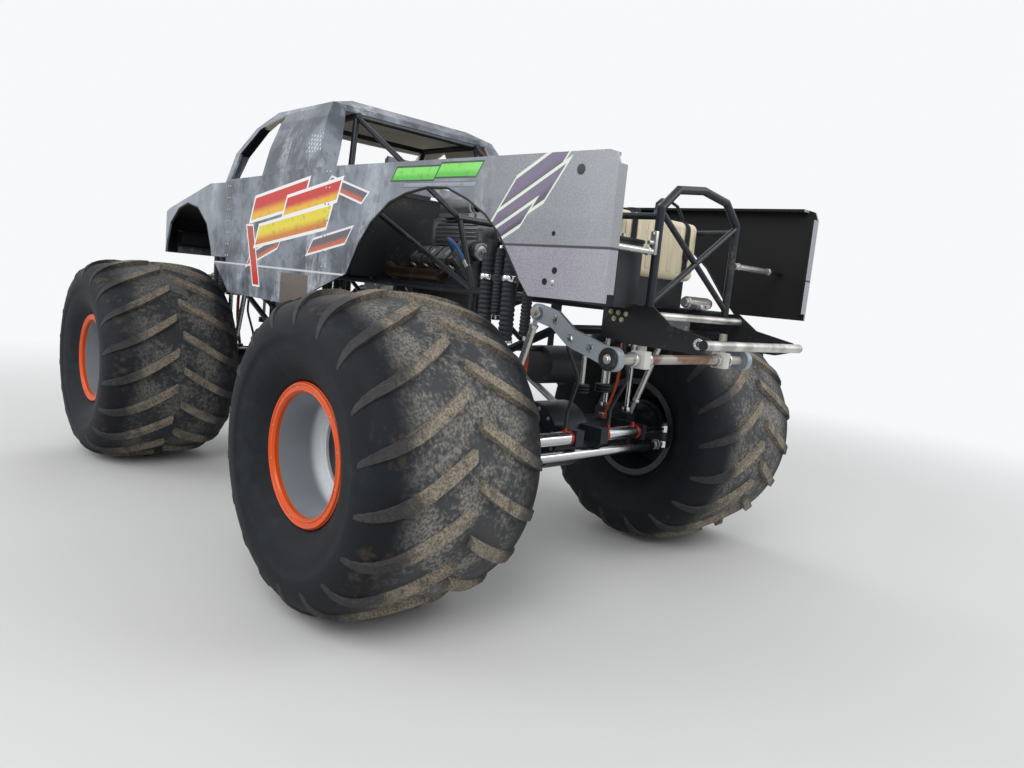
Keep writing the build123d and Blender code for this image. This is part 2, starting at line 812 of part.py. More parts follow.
def nose_solid(inset):
    """The nose as a solid, smaller by inset on the closed faces."""
    low = body_low_z + 50
    with BuildPart() as piece:
        with BuildSketch(Plane.XZ.offset(-body_half)):
            with BuildLine():
                Polyline(
                    (nose_split_x - inset, low - inset),
                    (nose_split_x - inset, belt_z - inset),
                    (nose_split_x + 390, belt_z - inset),
                    (nose_end_x - 263, belt_z - 191 - inset),
                    (nose_end_x - 50 - inset, belt_z - 260 - inset),
                    (nose_end_x - inset, belt_z - 370 - inset),
                    (nose_end_x - inset, low - inset),
                    close=True,
                )
            make_face()
        extrude(amount=2 * body_half)
        with BuildSketch(Plane.XY.offset(low - 2 * shell)):
            with BuildLine():
                w = body_half - inset
                e = nose_end_x - inset
                Line((nose_split_x - 2 * shell, w), (e - 200, w))
                ThreePointArc((e - 200, w), (e - 55, w - 62), (e, w - 200))
                Line((e, w - 200), (e, -w + 200))
                ThreePointArc((e, -w + 200), (e - 55, -w + 62), (e - 200, -w))
                Line((e - 200, -w), (nose_split_x - 2 * shell, -w))
                Line((nose_split_x - 2 * shell, -w), (nose_split_x - 2 * shell, w))
            make_face()
        extrude(amount=1000, mode=Mode.INTERSECT)
    return piece.part


# Front openings: middle across, middle height, width, height
lamp_y = 640
lamp_width = 300
lamp_height = 110
fascia_z = 1905
grille_width = 900
grille_height = 130
front_holes = [
    (0, fascia_z, grille_width, grille_height),
    (lamp_y, fascia_z, lamp_width, lamp_height),
    (-lamp_y, fascia_z, lamp_width, lamp_height),
]
with BuildPart() as body_nose:
    add(nose_solid(0))
    add(nose_solid(shell), mode=Mode.SUBTRACT)
    with BuildSketch(Plane.XZ.offset(-body_half - 10)):
        with BuildLine():
            arch = [(front_x + dx, body_low_z + dz) for dx, dz in front_arch]
            Polyline(*arch, close=True)
        make_face()
    extrude(amount=2 * body_half + 20, mode=Mode.SUBTRACT)
    with BuildSketch(Plane.YZ.offset(nose_end_x - 60)):
        for y, z, width, height in front_holes:
            with Locations((y, z)):
                Rectangle(width, height)
    extrude(amount=80, mode=Mode.SUBTRACT)
    split(bisect_by=Plane.YZ.offset(nose_split_x), keep=Keep.TOP)
    add(body_cab.part, mode=Mode.SUBTRACT)
keep(body_nose.part, "body_nose")

# Grille bars and lamp units behind the nose skin
bar_count = 4
with BuildPart() as nose_trim:
    back_x = nose_end_x - shell
    with BuildSketch(Plane.YZ.offset(back_x - 30)):
        with Locations((0, fascia_z)):
            Rectangle(grille_width + 60, grille_height + 40)
            Rectangle(grille_width - 40, grille_height - 30, mode=Mode.SUBTRACT)
    extrude(amount=30)
    step = grille_height / (bar_count + 1)
    for count in range(bar_count):
        level = fascia_z - grille_height / 2 + (count + 1) * step
        add(block((back_x - 25, -grille_width / 2, level - 7), (back_x + 8, grille_width / 2, level + 7)))
    half_high = grille_height / 2
    for y in (-150, 150):
        add(block((back_x - 26, y - 8, fascia_z - half_high), (back_x - 4, y + 8, fascia_z + half_high)))
    for y in (-lamp_y, lamp_y):
        for back, front, edge in ((70, 6, -8), (30, 0, 15)):
            wide, high = lamp_width / 2 + edge, lamp_height / 2 + edge
            low_corner = (back_x - back, y - wide, fascia_z - high)
            add(block(low_corner, (back_x + front, y + wide, fascia_z + high)))
    add(body_nose.part, mode=Mode.SUBTRACT)
keep(nose_trim.part, "nose_trim")

# Cab floor and firewall
floor_back = mid_x - 290
floor_front = mid_x + 970
floor_low = deck_z + rail_radius
floor_z = floor_low + 6
with BuildPart() as floor:
    add(block((floor_back, -620, floor_low), (floor_front, 620, floor_z)))
    add(block((floor_back - 6, -620, floor_low), (floor_back, 620, 2320)))
    add(block((floor_front, -620, floor_low), (floor_front + 6, 620, 2290)))
    for carrier in (frame, cage, crosses):
        add(carrier, mode=Mode.SUBTRACT)
keep(floor.part, "cab_floor")

# Seat on the centre line
seat_x = mid_x - 40
seat_half = 240
seat_points = [
    (0, floor_z), (0, 2200), (-80, 2640), (40, 2660),
    (150, 2180), (180, 2000), (520, 2010), (540, floor_z),
]
bowl_points = [(160, 2020), (541, 2020), (541, 2300), (160, 2300)]
with BuildPart() as seat:
    add(side_plate([(seat_x + x, z) for x, z in seat_points], -seat_half, 2 * seat_half))
    bowl = side_plate([(seat_x + x, z) for x, z in bowl_points], 40 - seat_half, 2 * seat_half - 80)
    add(bowl, mode=Mode.SUBTRACT)
keep(seat.part, "seat")

# Dash and steering wheel
with BuildPart() as controls:
    add(block((floor_front - 200, -560, 2230), (floor_front, 560, 2290)))
    add(bar((floor_front - 190, 0, 2250), (floor_front - 410, 0, 2330), 22))
    wheel_plane = Plane(origin=(floor_front - 410, 0, 2330), z_dir=(-220, 0, 80))
    with BuildSketch(wheel_plane):
        Circle(180)
        Circle(150, mode=Mode.SUBTRACT)
        Rectangle(30, 320)
        Rectangle(320, 30)
    extrude(amount=24)
    add(cage, mode=Mode.SUBTRACT)
    add(crosses, mode=Mode.SUBTRACT)
keep(controls.part, "controls")

# Engine in the middle, with its accessory drive facing back
engine_x = rear_x + 950
engine_half = 280
crank_z = 1650
bank_angle = 45
drive_x = engine_x - engine_half - 80
blower_z = 1960


def bank(width, depth, height, rise):
    """A block leaning out from the crank as one cylinder bank does."""
    with BuildPart() as piece:
        with Locations(Location((engine_x, 0, crank_z), (-bank_angle, 0, 0))):
            with Locations((0, 0, rise + height / 2)):
                Box(width, depth, height)
    return piece.part


pulleys = [
    # y, z, radius
    (0, crank_z, 85),
    (0, 2090, 62),
    (-150, 1850, 50),
    (190, 1960, 58),
]
with BuildPart() as engine:
    back, front = engine_x - engine_half, engine_x + engine_half
    pieces = [block((back, -150, crank_z - 100), (front, 150, crank_z + 80))]
    pieces.append(block((back + 60, -110, crank_z - 115), (front - 60, 110, crank_z - 90)))
    left = bank(2 * engine_half, 170, 320, 20)
    pieces += [left, mirror(left, about=Plane.XZ)]
    pieces.append(block((back - 40, -120, crank_z - 60), (back + 20, 120, 1900)))
    for y, z, radius in pulleys:
        pieces.append(bar((drive_x, y, z), (drive_x + 50, y, z), radius))
        pieces.append(bar((drive_x + 20, y, z), (back + 60, y, z), 0.45 * radius))
    pieces.append(bar((back - 20, 190, 1960), (back + 130, 190, 1960), 70))
    pieces.append(block((front - 5, -150, 1560), (front + 70, 150, 1770)))
    pieces.append(block((front + 60, -110, 1665), (floor_back - 12, 110, 1770)))
    mount = block((engine_x + 120, 100, crank_z - 40), (engine_x + 180, rail_y, crank_z + 30))
    pieces += [mount, mirror(mount, about=Plane.XZ)]
    add(pieces)
    _, low_z, low_radius = pulleys[0]
    _, high_z, high_radius = pulleys[1]
    with BuildSketch(Plane.YZ.offset(drive_x + 8)):
        for way in (1, -1):
            run = [
                (low_radius, low_z),
                (high_radius, high_z),
                (high_radius - 9, high_z),
                (low_radius - 9, low_z),
            ]
            with BuildLine():
                Polyline(*[(way * y, z) for y, z in run], close=True)
            make_face()
    extrude(amount=34)
    for carrier in (frame, cage, crosses):
        add(carrier, mode=Mode.SUBTRACT)
engine_part = engine.part
keep(engine_part, "engine")

# Blower with its belt, intake hat and valve covers
with BuildPart() as blower:
    with BuildSketch(Plane.YZ.offset(engine_x - 250)):
        with Locations((0, blower_z + 120)):
            RectangleRounded(270, 240, 90)
        with Locations((0, blower_z + 30)):
            Rectangle(200, 80)
    extrude(amount=500)
    for end_x in (engine_x - 262, engine_x + 250):
        with BuildSketch(Plane.YZ.offset(end_x)):
            with Locations((0, blower_z + 120)):
                RectangleRounded(290, 256, 90)
        extrude(amount=12)
    hat_low = blower_z + 230
    with BuildSketch(Plane.XY.offset(hat_low)):
        with Locations((engine_x, 0)):
            Rectangle(360, 220)
            Rectangle(330, 330)
    extrude(amount=30)
    with BuildSketch(Plane.YZ.offset(engine_x - 160)):
        with Locations((0, hat_low + 85)):
            RectangleRounded(330, 120, 50)
    extrude(amount=320)
    with BuildSketch(Plane.YZ.offset(engine_x - 161)):
        with Locations((-100, hat_low + 85), (0, hat_low + 85), (100, hat_low + 85)):
            Circle(42)
    extrude(amount=60, mode=Mode.SUBTRACT)
    cover = bank(2 * engine_half - 60, 120, 70, 340)
    add([cover, mirror(cover, about=Plane.XZ)])
    add(engine_part, mode=Mode.SUBTRACT)
    add(cage, mode=Mode.SUBTRACT)
keep(blower.part, "blower")

# Exhaust headers, four pipes a side into one collector
with BuildPart() as headers:
    pieces = []
    for count in range(4):
        hx = engine_x - 210 + count * 140
        route = [(hx, 200, 1850), (hx + 30, 320, 1835), (hx + 90, 345, 1785)]
        pieces.append(bent_bar(route, 23))
    route = [(engine_x - 140, 345, 1775), (engine_x + 400, 345, 1775), (engine_x + 490, 345, 1815)]
    pieces.append(bent_bar(route, 44))
    add(pieces + [mirror(piece, about=Plane.XZ) for piece in pieces])
    add(engine_part, mode=Mode.SUBTRACT)
    for carrier in (frame, cage, crosses):
        add(carrier, mode=Mode.SUBTRACT)
    add(blower.part, mode=Mode.SUBTRACT)
keep(headers.part, "headers")

# Transfer case and drive shafts, oil drum and battery box
case_back = mid_x - 290
case_front = mid_x + 10
shaft_z = belly_z + 100
battery_low = (tail_x + 510, rail_y - 10, deck_z)
battery_high = (tail_x + 690, rail_y + 180, 2035)
with BuildPart() as driveline:
    add(block((case_back, -170, belly_z - 20), (case_front, 170, belly_z + 280)))
    add(bar((case_back, 0, shaft_z), (rear_x + 260, 0, axle_z + 40), 45))
    add(bar((case_front, 0, shaft_z), (front_x - 260, 0, axle_z + 40), 45))
    add(bar((mid_x - 140, -rail_y, belly_z + 30), (mid_x - 140, rail_y, belly_z + 30), 22))
    add(bar((rear_x, -150, drum_z), (rear_x, 150, drum_z), drum_radius))
    add(block(battery_low, battery_high))
    for carrier in (frame, cage, crosses, axle_pair, tow_frames.part):
        add(carrier, mode=Mode.SUBTRACT)
keep(driveline.part, "driveline")

# Fuel tank behind the engine
with BuildPart() as tank:
    add(block((rear_x - 700, -tank_half, tank_low_z), (rear_x - 260, tank_half, 2215)))
    fillet(tank.edges(), 40)
    for carrier in (frame, cage, crosses):
        add(carrier, mode=Mode.SUBTRACT)
keep(tank.part, "fuel_tank")

# Hoses: one from each ram up to the frame, and one from the engine to its stay
ram_top_z = axle_z + arm_half + slide_gap + eye_thick / 2 + ram_radius
hose_radius = 11
hose_bend = 90
with BuildPart() as hoses:
    pieces = []
    for end, x, way in ends:
        ram_x = x - way * arm_back
        bar_x = station_xs[0] if way == 1 else station_xs[-1]
        points = [
            (ram_x, 200, ram_top_z - 4),
            (ram_x, 200, ram_top_z + 120),
            (ram_x - way * 90, 230, ram_top_z + 330),
            (bar_x, 262, low_heights[0] - 110),
            (bar_x, 262, low_heights[0] - brace_radius + 4),
        ]
        ram_hose = hose(points, hose_bend, hose_radius)
        pieces += [ram_hose, mirror(ram_hose, about=Plane.XZ)]
    bay_points = [
        (engine_x - 215, 290, 1925),
        (engine_x - 260, 415, 2030),
        (engine_x - 400, 425, 1960),
        (engine_x - 480, 394, 1850),
    ]
    pieces.append(hose(bay_points, 50, hose_radius + 5))
    add(pieces)
    for carrier in (cage, crosses, axle_pair, engine_part, blower.part):
        add(carrier, mode=Mode.SUBTRACT)
keep(hoses.part, "hoses")
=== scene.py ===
import math

import bmesh
import bpy
from bpy.props import FloatProperty, FloatVectorProperty, IntProperty, PointerProperty
from mathutils import Matrix, Vector


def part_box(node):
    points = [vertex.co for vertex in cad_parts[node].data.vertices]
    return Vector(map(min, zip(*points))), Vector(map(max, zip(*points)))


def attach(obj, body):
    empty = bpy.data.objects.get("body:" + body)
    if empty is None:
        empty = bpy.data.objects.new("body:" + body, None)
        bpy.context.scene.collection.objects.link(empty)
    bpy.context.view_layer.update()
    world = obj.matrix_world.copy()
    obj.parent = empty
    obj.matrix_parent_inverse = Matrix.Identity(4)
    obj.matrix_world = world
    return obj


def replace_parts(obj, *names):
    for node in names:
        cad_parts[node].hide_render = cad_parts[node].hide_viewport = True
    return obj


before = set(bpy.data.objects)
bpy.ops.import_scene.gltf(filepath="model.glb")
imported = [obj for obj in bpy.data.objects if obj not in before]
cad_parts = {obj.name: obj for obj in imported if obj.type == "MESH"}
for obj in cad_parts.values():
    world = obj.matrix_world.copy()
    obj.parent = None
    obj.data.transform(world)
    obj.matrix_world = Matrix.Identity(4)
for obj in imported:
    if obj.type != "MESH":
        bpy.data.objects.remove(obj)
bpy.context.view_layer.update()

bl_info = {
    "name": "Monster Truck Looks",
    "version": (1, 0, 0),
    "blender": (4, 5, 0),
    "location": "3D View > Sidebar > Truck",
    "description": "Dresses the packed truck with tyres, finishes, trim and a plain studio",
    "category": "Object",
}

TYRE_LOW, TYRE_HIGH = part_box("tyre_rear_left")
FRONT_LOW, FRONT_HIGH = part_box("tyre_front_left")
TYRE_RADIUS = (TYRE_HIGH.z - TYRE_LOW.z) / 2
WHEEL_Y = (TYRE_HIGH.y + TYRE_LOW.y) / 2
AXLE_Z = TYRE_RADIUS
REAR_X = (TYRE_HIGH.x + TYRE_LOW.x) / 2
FRONT_X = (FRONT_HIGH.x + FRONT_LOW.x) / 2
MID_X = (REAR_X + FRONT_X) / 2
BODY_Y = 0.955
ENDS = (("rear", REAR_X, 1), ("front", FRONT_X, -1))
SIDES = (("left", 1), ("right", -1))
UP = (0, 0, 1)


def tint(code):
    """Turns a six-figure screen colour into linear red, green and blue."""
    parts = [int(code[i:i + 2], 16) / 255 for i in (0, 2, 4)]
    return tuple(p / 12.92 if p <= 0.04045 else ((p + 0.055) / 1.055) ** 2.4 for p in parts)


# Settings that a user would change

class TruckSizes(bpy.types.PropertyGroup):
    lug_count: IntProperty(
        name="Lugs a Row", description="Tread bars in each of the two rows", default=18, min=8, max=24)
    lug_height: FloatProperty(
        name="Lug Height", description="How far a tread bar stands up", default=0.034, unit="LENGTH")
    lug_width: FloatProperty(
        name="Lug Width", description="Width of a tread bar at its top", default=0.06, unit="LENGTH")
    sleeve_radius: FloatProperty(
        name="Sleeve Radius", description="Radius of the ribbed shock sleeves", default=0.043, unit="LENGTH")
    sleeve_pitch: FloatProperty(
        name="Sleeve Pitch", description="Distance between two ribs", default=0.027, unit="LENGTH")
    bolt_radius: FloatProperty(
        name="Bolt Radius", description="Radius of the plate bolts", default=0.009, unit="LENGTH")
    floor_reach: FloatProperty(
        name="Floor Reach", description="Half the width of the studio floor", default=60, unit="LENGTH")


class TruckColours(bpy.types.PropertyGroup):
    rubber: FloatVectorProperty(
        name="Rubber", description="Clean tyre rubber", subtype="COLOR", default=tint("191d23"))
    dust: FloatVectorProperty(
        name="Dust", description="Dry dust on the tread", subtype="COLOR", default=tint("a5a29a"))
    ring: FloatVectorProperty(
        name="Ring", description="Outer ring of the rims", subtype="COLOR", default=tint("e2540a"))
    barrel: FloatVectorProperty(
        name="Barrel", description="Barrel of the rims", subtype="COLOR", default=tint("868c93"))
    wrap_dark: FloatVectorProperty(
        name="Wrap Dark", description="Dark tone of the printed wrap", subtype="COLOR",
        default=tint("454b55"))
    wrap_mid: FloatVectorProperty(
        name="Wrap Middle", description="Middle tone of the printed wrap", subtype="COLOR",
        default=tint("7b828c"))
    wrap_pale: FloatVectorProperty(
        name="Wrap Pale", description="Pale streaks of the printed wrap", subtype="COLOR",
        default=tint("b4bac1"))
    frame_paint: FloatVectorProperty(
        name="Frame Paint", description="Satin black of the tubes", subtype="COLOR",
        default=tint("23262c"))
    arm: FloatVectorProperty(
        name="Arm Alloy", description="Pale grey of the anti-roll arms", subtype="COLOR",
        default=tint("8d969e"))


# Shader node helpers

def put(tree, kind, inputs=None, **settings):
    """Adds a node, sets it up, and links or fills its inputs."""
    made = tree.nodes.new(kind)
    for key, value in settings.items():
        setattr(made, key, value)
    for socket, value in (inputs or {}).items():
        if isinstance(value, bpy.types.NodeSocket):
            tree.links.new(value, made.inputs[socket])
        else:
            made.inputs[socket].default_value = value
    return made


def calc(tree, operation, a, b=0.0):
    return put(tree, "ShaderNodeMath", {0: a, 1: b}, operation=operation).outputs[0]


def times(tree, a, b):
    return calc(tree, "MULTIPLY", a, b)


def plus(tree, a, b):
    return calc(tree, "ADD", a, b)


def minus(tree, a, b):
    return calc(tree, "SUBTRACT", a, b)


def unsigned(tree, a):
    return calc(tree, "ABSOLUTE", a)


def ramp(tree, value, low, high, to_low=0.0, to_high=1.0):
    """Turns a value into a smooth step between two limits, whichever is larger."""
    if low > high:
        low, high, to_low, to_high = high, low, to_high, to_low
    inputs = {"Value": value, "From Min": low, "From Max": high, "To Min": to_low, "To Max": to_high}
    return put(tree, "ShaderNodeMapRange", inputs, interpolation_type="SMOOTHSTEP").outputs["Result"]


def mix(tree, mask, a, b):
    """Mixes two colours, each a socket or three numbers."""
    made = put(tree, "ShaderNodeMix", {0: mask}, data_type="RGBA")
    for index, value in ((6, a), (7, b)):
        if isinstance(value, bpy.types.NodeSocket):
            tree.links.new(value, made.inputs[index])
        else:
            made.inputs[index].default_value = (*value, 1)
    return made.outputs[2]


def coords(tree):
    return put(tree, "ShaderNodeTexCoord").outputs["Object"]


def axes(tree, vector):
    made = put(tree, "ShaderNodeSeparateXYZ", {0: vector})
    return made.outputs[0], made.outputs[1], made.outputs[2]


def noise(tree, scale, detail=4.0, rough=0.55, stretch=None):
    """Noise on object coordinates, stretched along an axis if asked."""
    vector = coords(tree)
    if stretch:
        vector = put(tree, "ShaderNodeMapping", {"Vector": vector, "Scale": stretch}).outputs[0]
    inputs = {"Vector": vector, "Scale": scale, "Detail": detail, "Roughness": rough}
    return put(tree, "ShaderNodeTexNoise", inputs).outputs[0]


def new_group(name, inputs, outputs):
    """Starts a shader node group with named numbers going in and out."""
    group = bpy.data.node_groups.new(name, "ShaderNodeTree")
    for label, value in inputs:
        socket = group.interface.new_socket(name=label, in_out="INPUT", socket_type="NodeSocketFloat")
        socket.default_value = value
    for label in outputs:
        group.interface.new_socket(name=label, in_out="OUTPUT", socket_type="NodeSocketFloat")
    return group, group.nodes.new("NodeGroupInput"), group.nodes.new("NodeGroupOutput")


def dust_group():
    """Patchy dust: broad patches broken up by fine specks."""
    group, given, result = new_group("Dust", [("Scale", 4.0), ("Cover", 0.4)], ["Mask"])
    scale = given.outputs["Scale"]
    broad = put(group, "ShaderNodeTexNoise", {"Vector": coords(group), "Scale": scale, "Detail": 5.0})
    fine_scale = times(group, scale, 9.0)
    fine = put(group, "ShaderNodeTexNoise", {"Vector": coords(group), "Scale": fine_scale, "Detail": 3.0})
    both = plus(group, times(group, broad.outputs[0], 0.62), times(group, fine.outputs[0], 0.38))
    edge = minus(group, 0.66, times(group, given.outputs["Cover"], 0.3))
    spread = calc(group, "DIVIDE", minus(group, both, edge), 0.1)
    mask = put(group, "ShaderNodeClamp", {0: spread}).outputs[0]
    group.links.new(mask, result.inputs["Mask"])
    return group


def grain_group():
    """Fine grain of a cast, sprayed or moulded surface."""
    group, given, result = new_group("Grain", [("Scale", 120.0), ("Contrast", 1.0)], ["Height", "Tone"])
    scale = given.outputs["Scale"]
    fine = put(group, "ShaderNodeTexNoise", {"Vector": coords(group), "Scale": scale, "Detail": 3.0})
    slow_scale = calc(group, "DIVIDE", scale, 22.0)
    slow = put(group, "ShaderNodeTexNoise", {"Vector": coords(group), "Scale": slow_scale, "Detail": 3.0})
    centred = minus(group, slow.outputs[0], 0.5)
    tone = plus(group, 0.5, times(group, centred, given.outputs["Contrast"]))
    group.links.new(fine.outputs[0], result.inputs["Height"])
    group.links.new(tone, result.inputs["Tone"])
    return group


def wear_group():
    """Scuffs and chips in short thin marks."""
    group, given, result = new_group("Wear", [("Scale", 18.0), ("Amount", 0.3)], ["Mask"])
    stretched = put(group, "ShaderNodeMapping", {"Vector": coords(group), "Scale": (1.0, 1.0, 3.5)})
    inputs = {"Vector": stretched.outputs[0], "Scale": given.outputs["Scale"]}
    marks = put(group, "ShaderNodeTexNoise", {**inputs, "Detail": 8.0, "Roughness": 0.7})
    edge = minus(group, 0.72, times(group, given.outputs["Amount"], 0.3))
    depth = calc(group, "DIVIDE", minus(group, marks.outputs[0], edge), 0.04)
    group.links.new(put(group, "ShaderNodeClamp", {0: depth}).outputs[0], result.inputs["Mask"])
    return group


def bar_group():
    """A slanted bar on the side of the body, with its outline and its fade from foot to head."""
    inputs = [("X", 0.0), ("Z", 2.0), ("Half Length", 0.3), ("Half Height", 0.1), ("Slant", 0.5),
              ("Tilt", 0.1), ("Line", 0.02)]
    group, given, result = new_group("Bar", inputs, ["Fill", "Outline", "Fade"])
    x, _, z = axes(group, coords(group))
    beside = minus(group, x, given.outputs["X"])
    up = plus(group, minus(group, z, given.outputs["Z"]), times(group, beside, given.outputs["Tilt"]))
    along = plus(group, beside, times(group, up, given.outputs["Slant"]))
    past_end = minus(group, unsigned(group, along), given.outputs["Half Length"])
    past_edge = minus(group, unsigned(group, up), given.outputs["Half Height"])
    over = calc(group, "MAXIMUM", past_end, past_edge)
    fill = calc(group, "LESS_THAN", over, 0.0)
    outer = calc(group, "LESS_THAN", over, given.outputs["Line"])
    group.links.new(fill, result.inputs["Fill"])
    group.links.new(minus(group, outer, fill), result.inputs["Outline"])
    tall = times(group, given.outputs["Half Height"], 2.0)
    group.links.new(plus(group, 0.5, calc(group, "DIVIDE", up, tall)), result.inputs["Fade"])
    return group


GROUPS = {}
FINISH = {}


def use(tree, name, **values):
    """Places one of the shared node groups with its own values."""
    made = put(tree, "ShaderNodeGroup", node_tree=GROUPS[name])
    for key, value in values.items():
        made.inputs[key.replace("_", " ").title()].default_value = value
    return made.outputs


def paint(name, metallic=0.0, roughness=0.5, coat=0.0, gloss=0.5):
    """Starts a material and returns it with its tree and main shader."""
    material = bpy.data.materials.new(name)
    material.use_nodes = True
    tree = material.node_tree
    shader = tree.nodes["Principled BSDF"]
    shader.inputs["Metallic"].default_value = metallic
    shader.inputs["Roughness"].default_value = roughness
    shader.inputs["Coat Weight"].default_value = coat
    shader.inputs["Specular IOR Level"].default_value = gloss
    return material, tree, shader


def feed(tree, shader, socket, value):
    tree.links.new(value, shader.inputs[socket])


def bump(tree, shader, height, strength, distance=0.01):
    made = put(tree, "ShaderNodeBump", {"Height": height, "Strength": strength, "Distance": distance})
    feed(tree, shader, "Normal", made.outputs[0])


# Finishes of the wheels

def wheel_places(tree):
    """Distance of a spot from its wheel's axle line, and from the truck's centre line."""
    x, y, z = axes(tree, coords(tree))
    along = minus(tree, unsigned(tree, minus(tree, x, MID_X)), FRONT_X - MID_X)
    up = minus(tree, z, AXLE_Z)
    square = plus(tree, times(tree, along, along), times(tree, up, up))
    return calc(tree, "SQRT", square), unsigned(tree, y)


def front_fade(tree, rear, front):
    """A value that goes from one at the rear wheels to another at the front ones."""
    x, _, _ = axes(tree, coords(tree))
    return ramp(tree, x, REAR_X, FRONT_X, rear, front)


def tyre_rubber(colours):
    """Near-black rubber with a grey film and pale dust on the tread, and mud on the shoulder."""
    material, tree, shader = paint("Tyre Rubber", gloss=0.18)
    radial, across = wheel_places(tree)
    off = unsigned(tree, minus(tree, across, WHEEL_Y))
    spots = use(tree, "Dust", scale=4.0, cover=0.7)["Mask"]
    film = use(tree, "Dust", scale=1.4, cover=0.5)["Mask"]
    crown = times(tree, ramp(tree, off, 0.2, 0.42, 1.0, 0.0), ramp(tree, radial, 0.74, 0.78))
    crown = times(tree, crown, front_fade(tree, 1.0, 0.5))
    tread = times(tree, spots, crown)
    shoulder = times(tree, ramp(tree, off, 0.3, 0.42), ramp(tree, radial, 0.66, 0.74))
    mud = times(tree, use(tree, "Dust", scale=2.6, cover=0.36)["Mask"], shoulder)
    grain = use(tree, "Grain", scale=60.0, contrast=1.4)
    rubber = mix(tree, grain["Tone"], tint("0f1216"), colours.rubber)
    filmed = mix(tree, times(tree, film, 0.2), rubber, tint("343940"))
    filmed = mix(tree, times(tree, crown, 0.55), filmed, tint("56585a"))
    speckle = mix(tree, ramp(tree, noise(tree, 70.0, 6.0), 0.4, 0.58), tint("6a655c"), colours.dust)
    dusty = mix(tree, times(tree, tread, 0.55), filmed, speckle)
    feed(tree, shader, "Base Color", mix(tree, times(tree, mud, 0.5), dusty, tint("5a4b3c")))
    feed(tree, shader, "Roughness", ramp(tree, tread, 0.0, 1.0, 0.62, 0.95))
    waves = calc(tree, "SINE", times(tree, radial, 300.0))
    wall = times(tree, waves, ramp(tree, radial, 0.42, 0.5, 0.1, 0.0))
    height = plus(tree, times(tree, grain["Height"], 0.5), wall)
    bump(tree, shader, plus(tree, height, tread), 0.35, 0.004)
    return material


def lug_rubber(colours):
    """Tread bars: worn tan on top towards the middle, dark at the shoulder."""
    material, tree, shader = paint("Lug Rubber", gloss=0.18)
    _, across = wheel_places(tree)
    off = unsigned(tree, minus(tree, across, WHEEL_Y))
    broken = plus(tree, off, times(tree, minus(tree, noise(tree, 9.0), 0.5), 0.2))
    tan = times(tree, ramp(tree, broken, 0.22, 0.4, 1.0, 0.1), front_fade(tree, 0.95, 0.75))
    tan = times(tree, tan, ramp(tree, noise(tree, 14.0, 5.0), 0.32, 0.55, 0.55, 1.0))
    speckle = ramp(tree, noise(tree, 85.0, 6.0, 0.7), 0.36, 0.6)
    worn = mix(tree, speckle, tint("625a4e"), tint("9b9182"))
    dark = mix(tree, noise(tree, 24.0, 5.0), tint("181b20"), tint("2b2e34"))
    feed(tree, shader, "Base Color", mix(tree, tan, dark, worn))
    feed(tree, shader, "Roughness", ramp(tree, tan, 0.0, 1.0, 0.6, 0.95))
    bump(tree, shader, noise(tree, 90.0, 6.0, 0.7), 0.4, 0.003)
    return material


def rim_alloy(colours):
    """Grey barrel with a pale band, and a disc on the inner side of the wheel, painted dark as painted
    shade.
    """
    material, tree, shader = paint("Rim Alloy", metallic=0.2, roughness=0.4)
    _, across = wheel_places(tree)
    tone = noise(tree, 6.0, 4.0)
    barrel = mix(tree, tone, colours.barrel, tint("969ca2"))
    # The disc's dark greys are painted shade: the disc sits deep inside the wheel.
    disc = mix(tree, tone, tint("2c3138"), tint("3b4149"))
    outer = ramp(tree, across, WHEEL_Y - 0.012, WHEEL_Y - 0.008)
    near = ramp(tree, across, WHEEL_Y + 0.13, WHEEL_Y + 0.135)
    far = ramp(tree, across, WHEEL_Y + 0.235, WHEEL_Y + 0.19)
    barrel = mix(tree, times(tree, near, far), barrel, tint("e2e5e7"))
    dust = use(tree, "Dust", scale=7.0, cover=0.28)["Mask"]
    surface = mix(tree, outer, disc, barrel)
    feed(tree, shader, "Base Color", mix(tree, times(tree, dust, 0.25), surface, tint("8d8779")))
    feed(tree, shader, "Roughness", ramp(tree, dust, 0.0, 1.0, 0.36, 0.7))
    bump(tree, shader, use(tree, "Grain", scale=200.0, contrast=0.5)["Height"], 0.08, 0.002)
    return material


def ring_orange(colours):
    """Orange paint with chips and a little dust."""
    material, tree, shader = paint("Ring Orange", coat=0.08, gloss=0.4)
    ring = mix(tree, noise(tree, 9.0), colours.ring, tint("c94808"))
    wear = use(tree, "Wear", scale=26.0, amount=0.2)["Mask"]
    dust = use(tree, "Dust", scale=9.0, cover=0.3)["Mask"]
    chipped = mix(tree, times(tree, wear, 0.7), ring, tint("8f6a54"))
    feed(tree, shader, "Base Color", mix(tree, times(tree, dust, 0.2), chipped, tint("b59a80")))
    feed(tree, shader, "Roughness", ramp(tree, dust, 0.0, 1.0, 0.3, 0.6))
    bump(tree, shader, use(tree, "Grain", scale=240.0, contrast=0.5)["Height"], 0.06, 0.002)
    return material


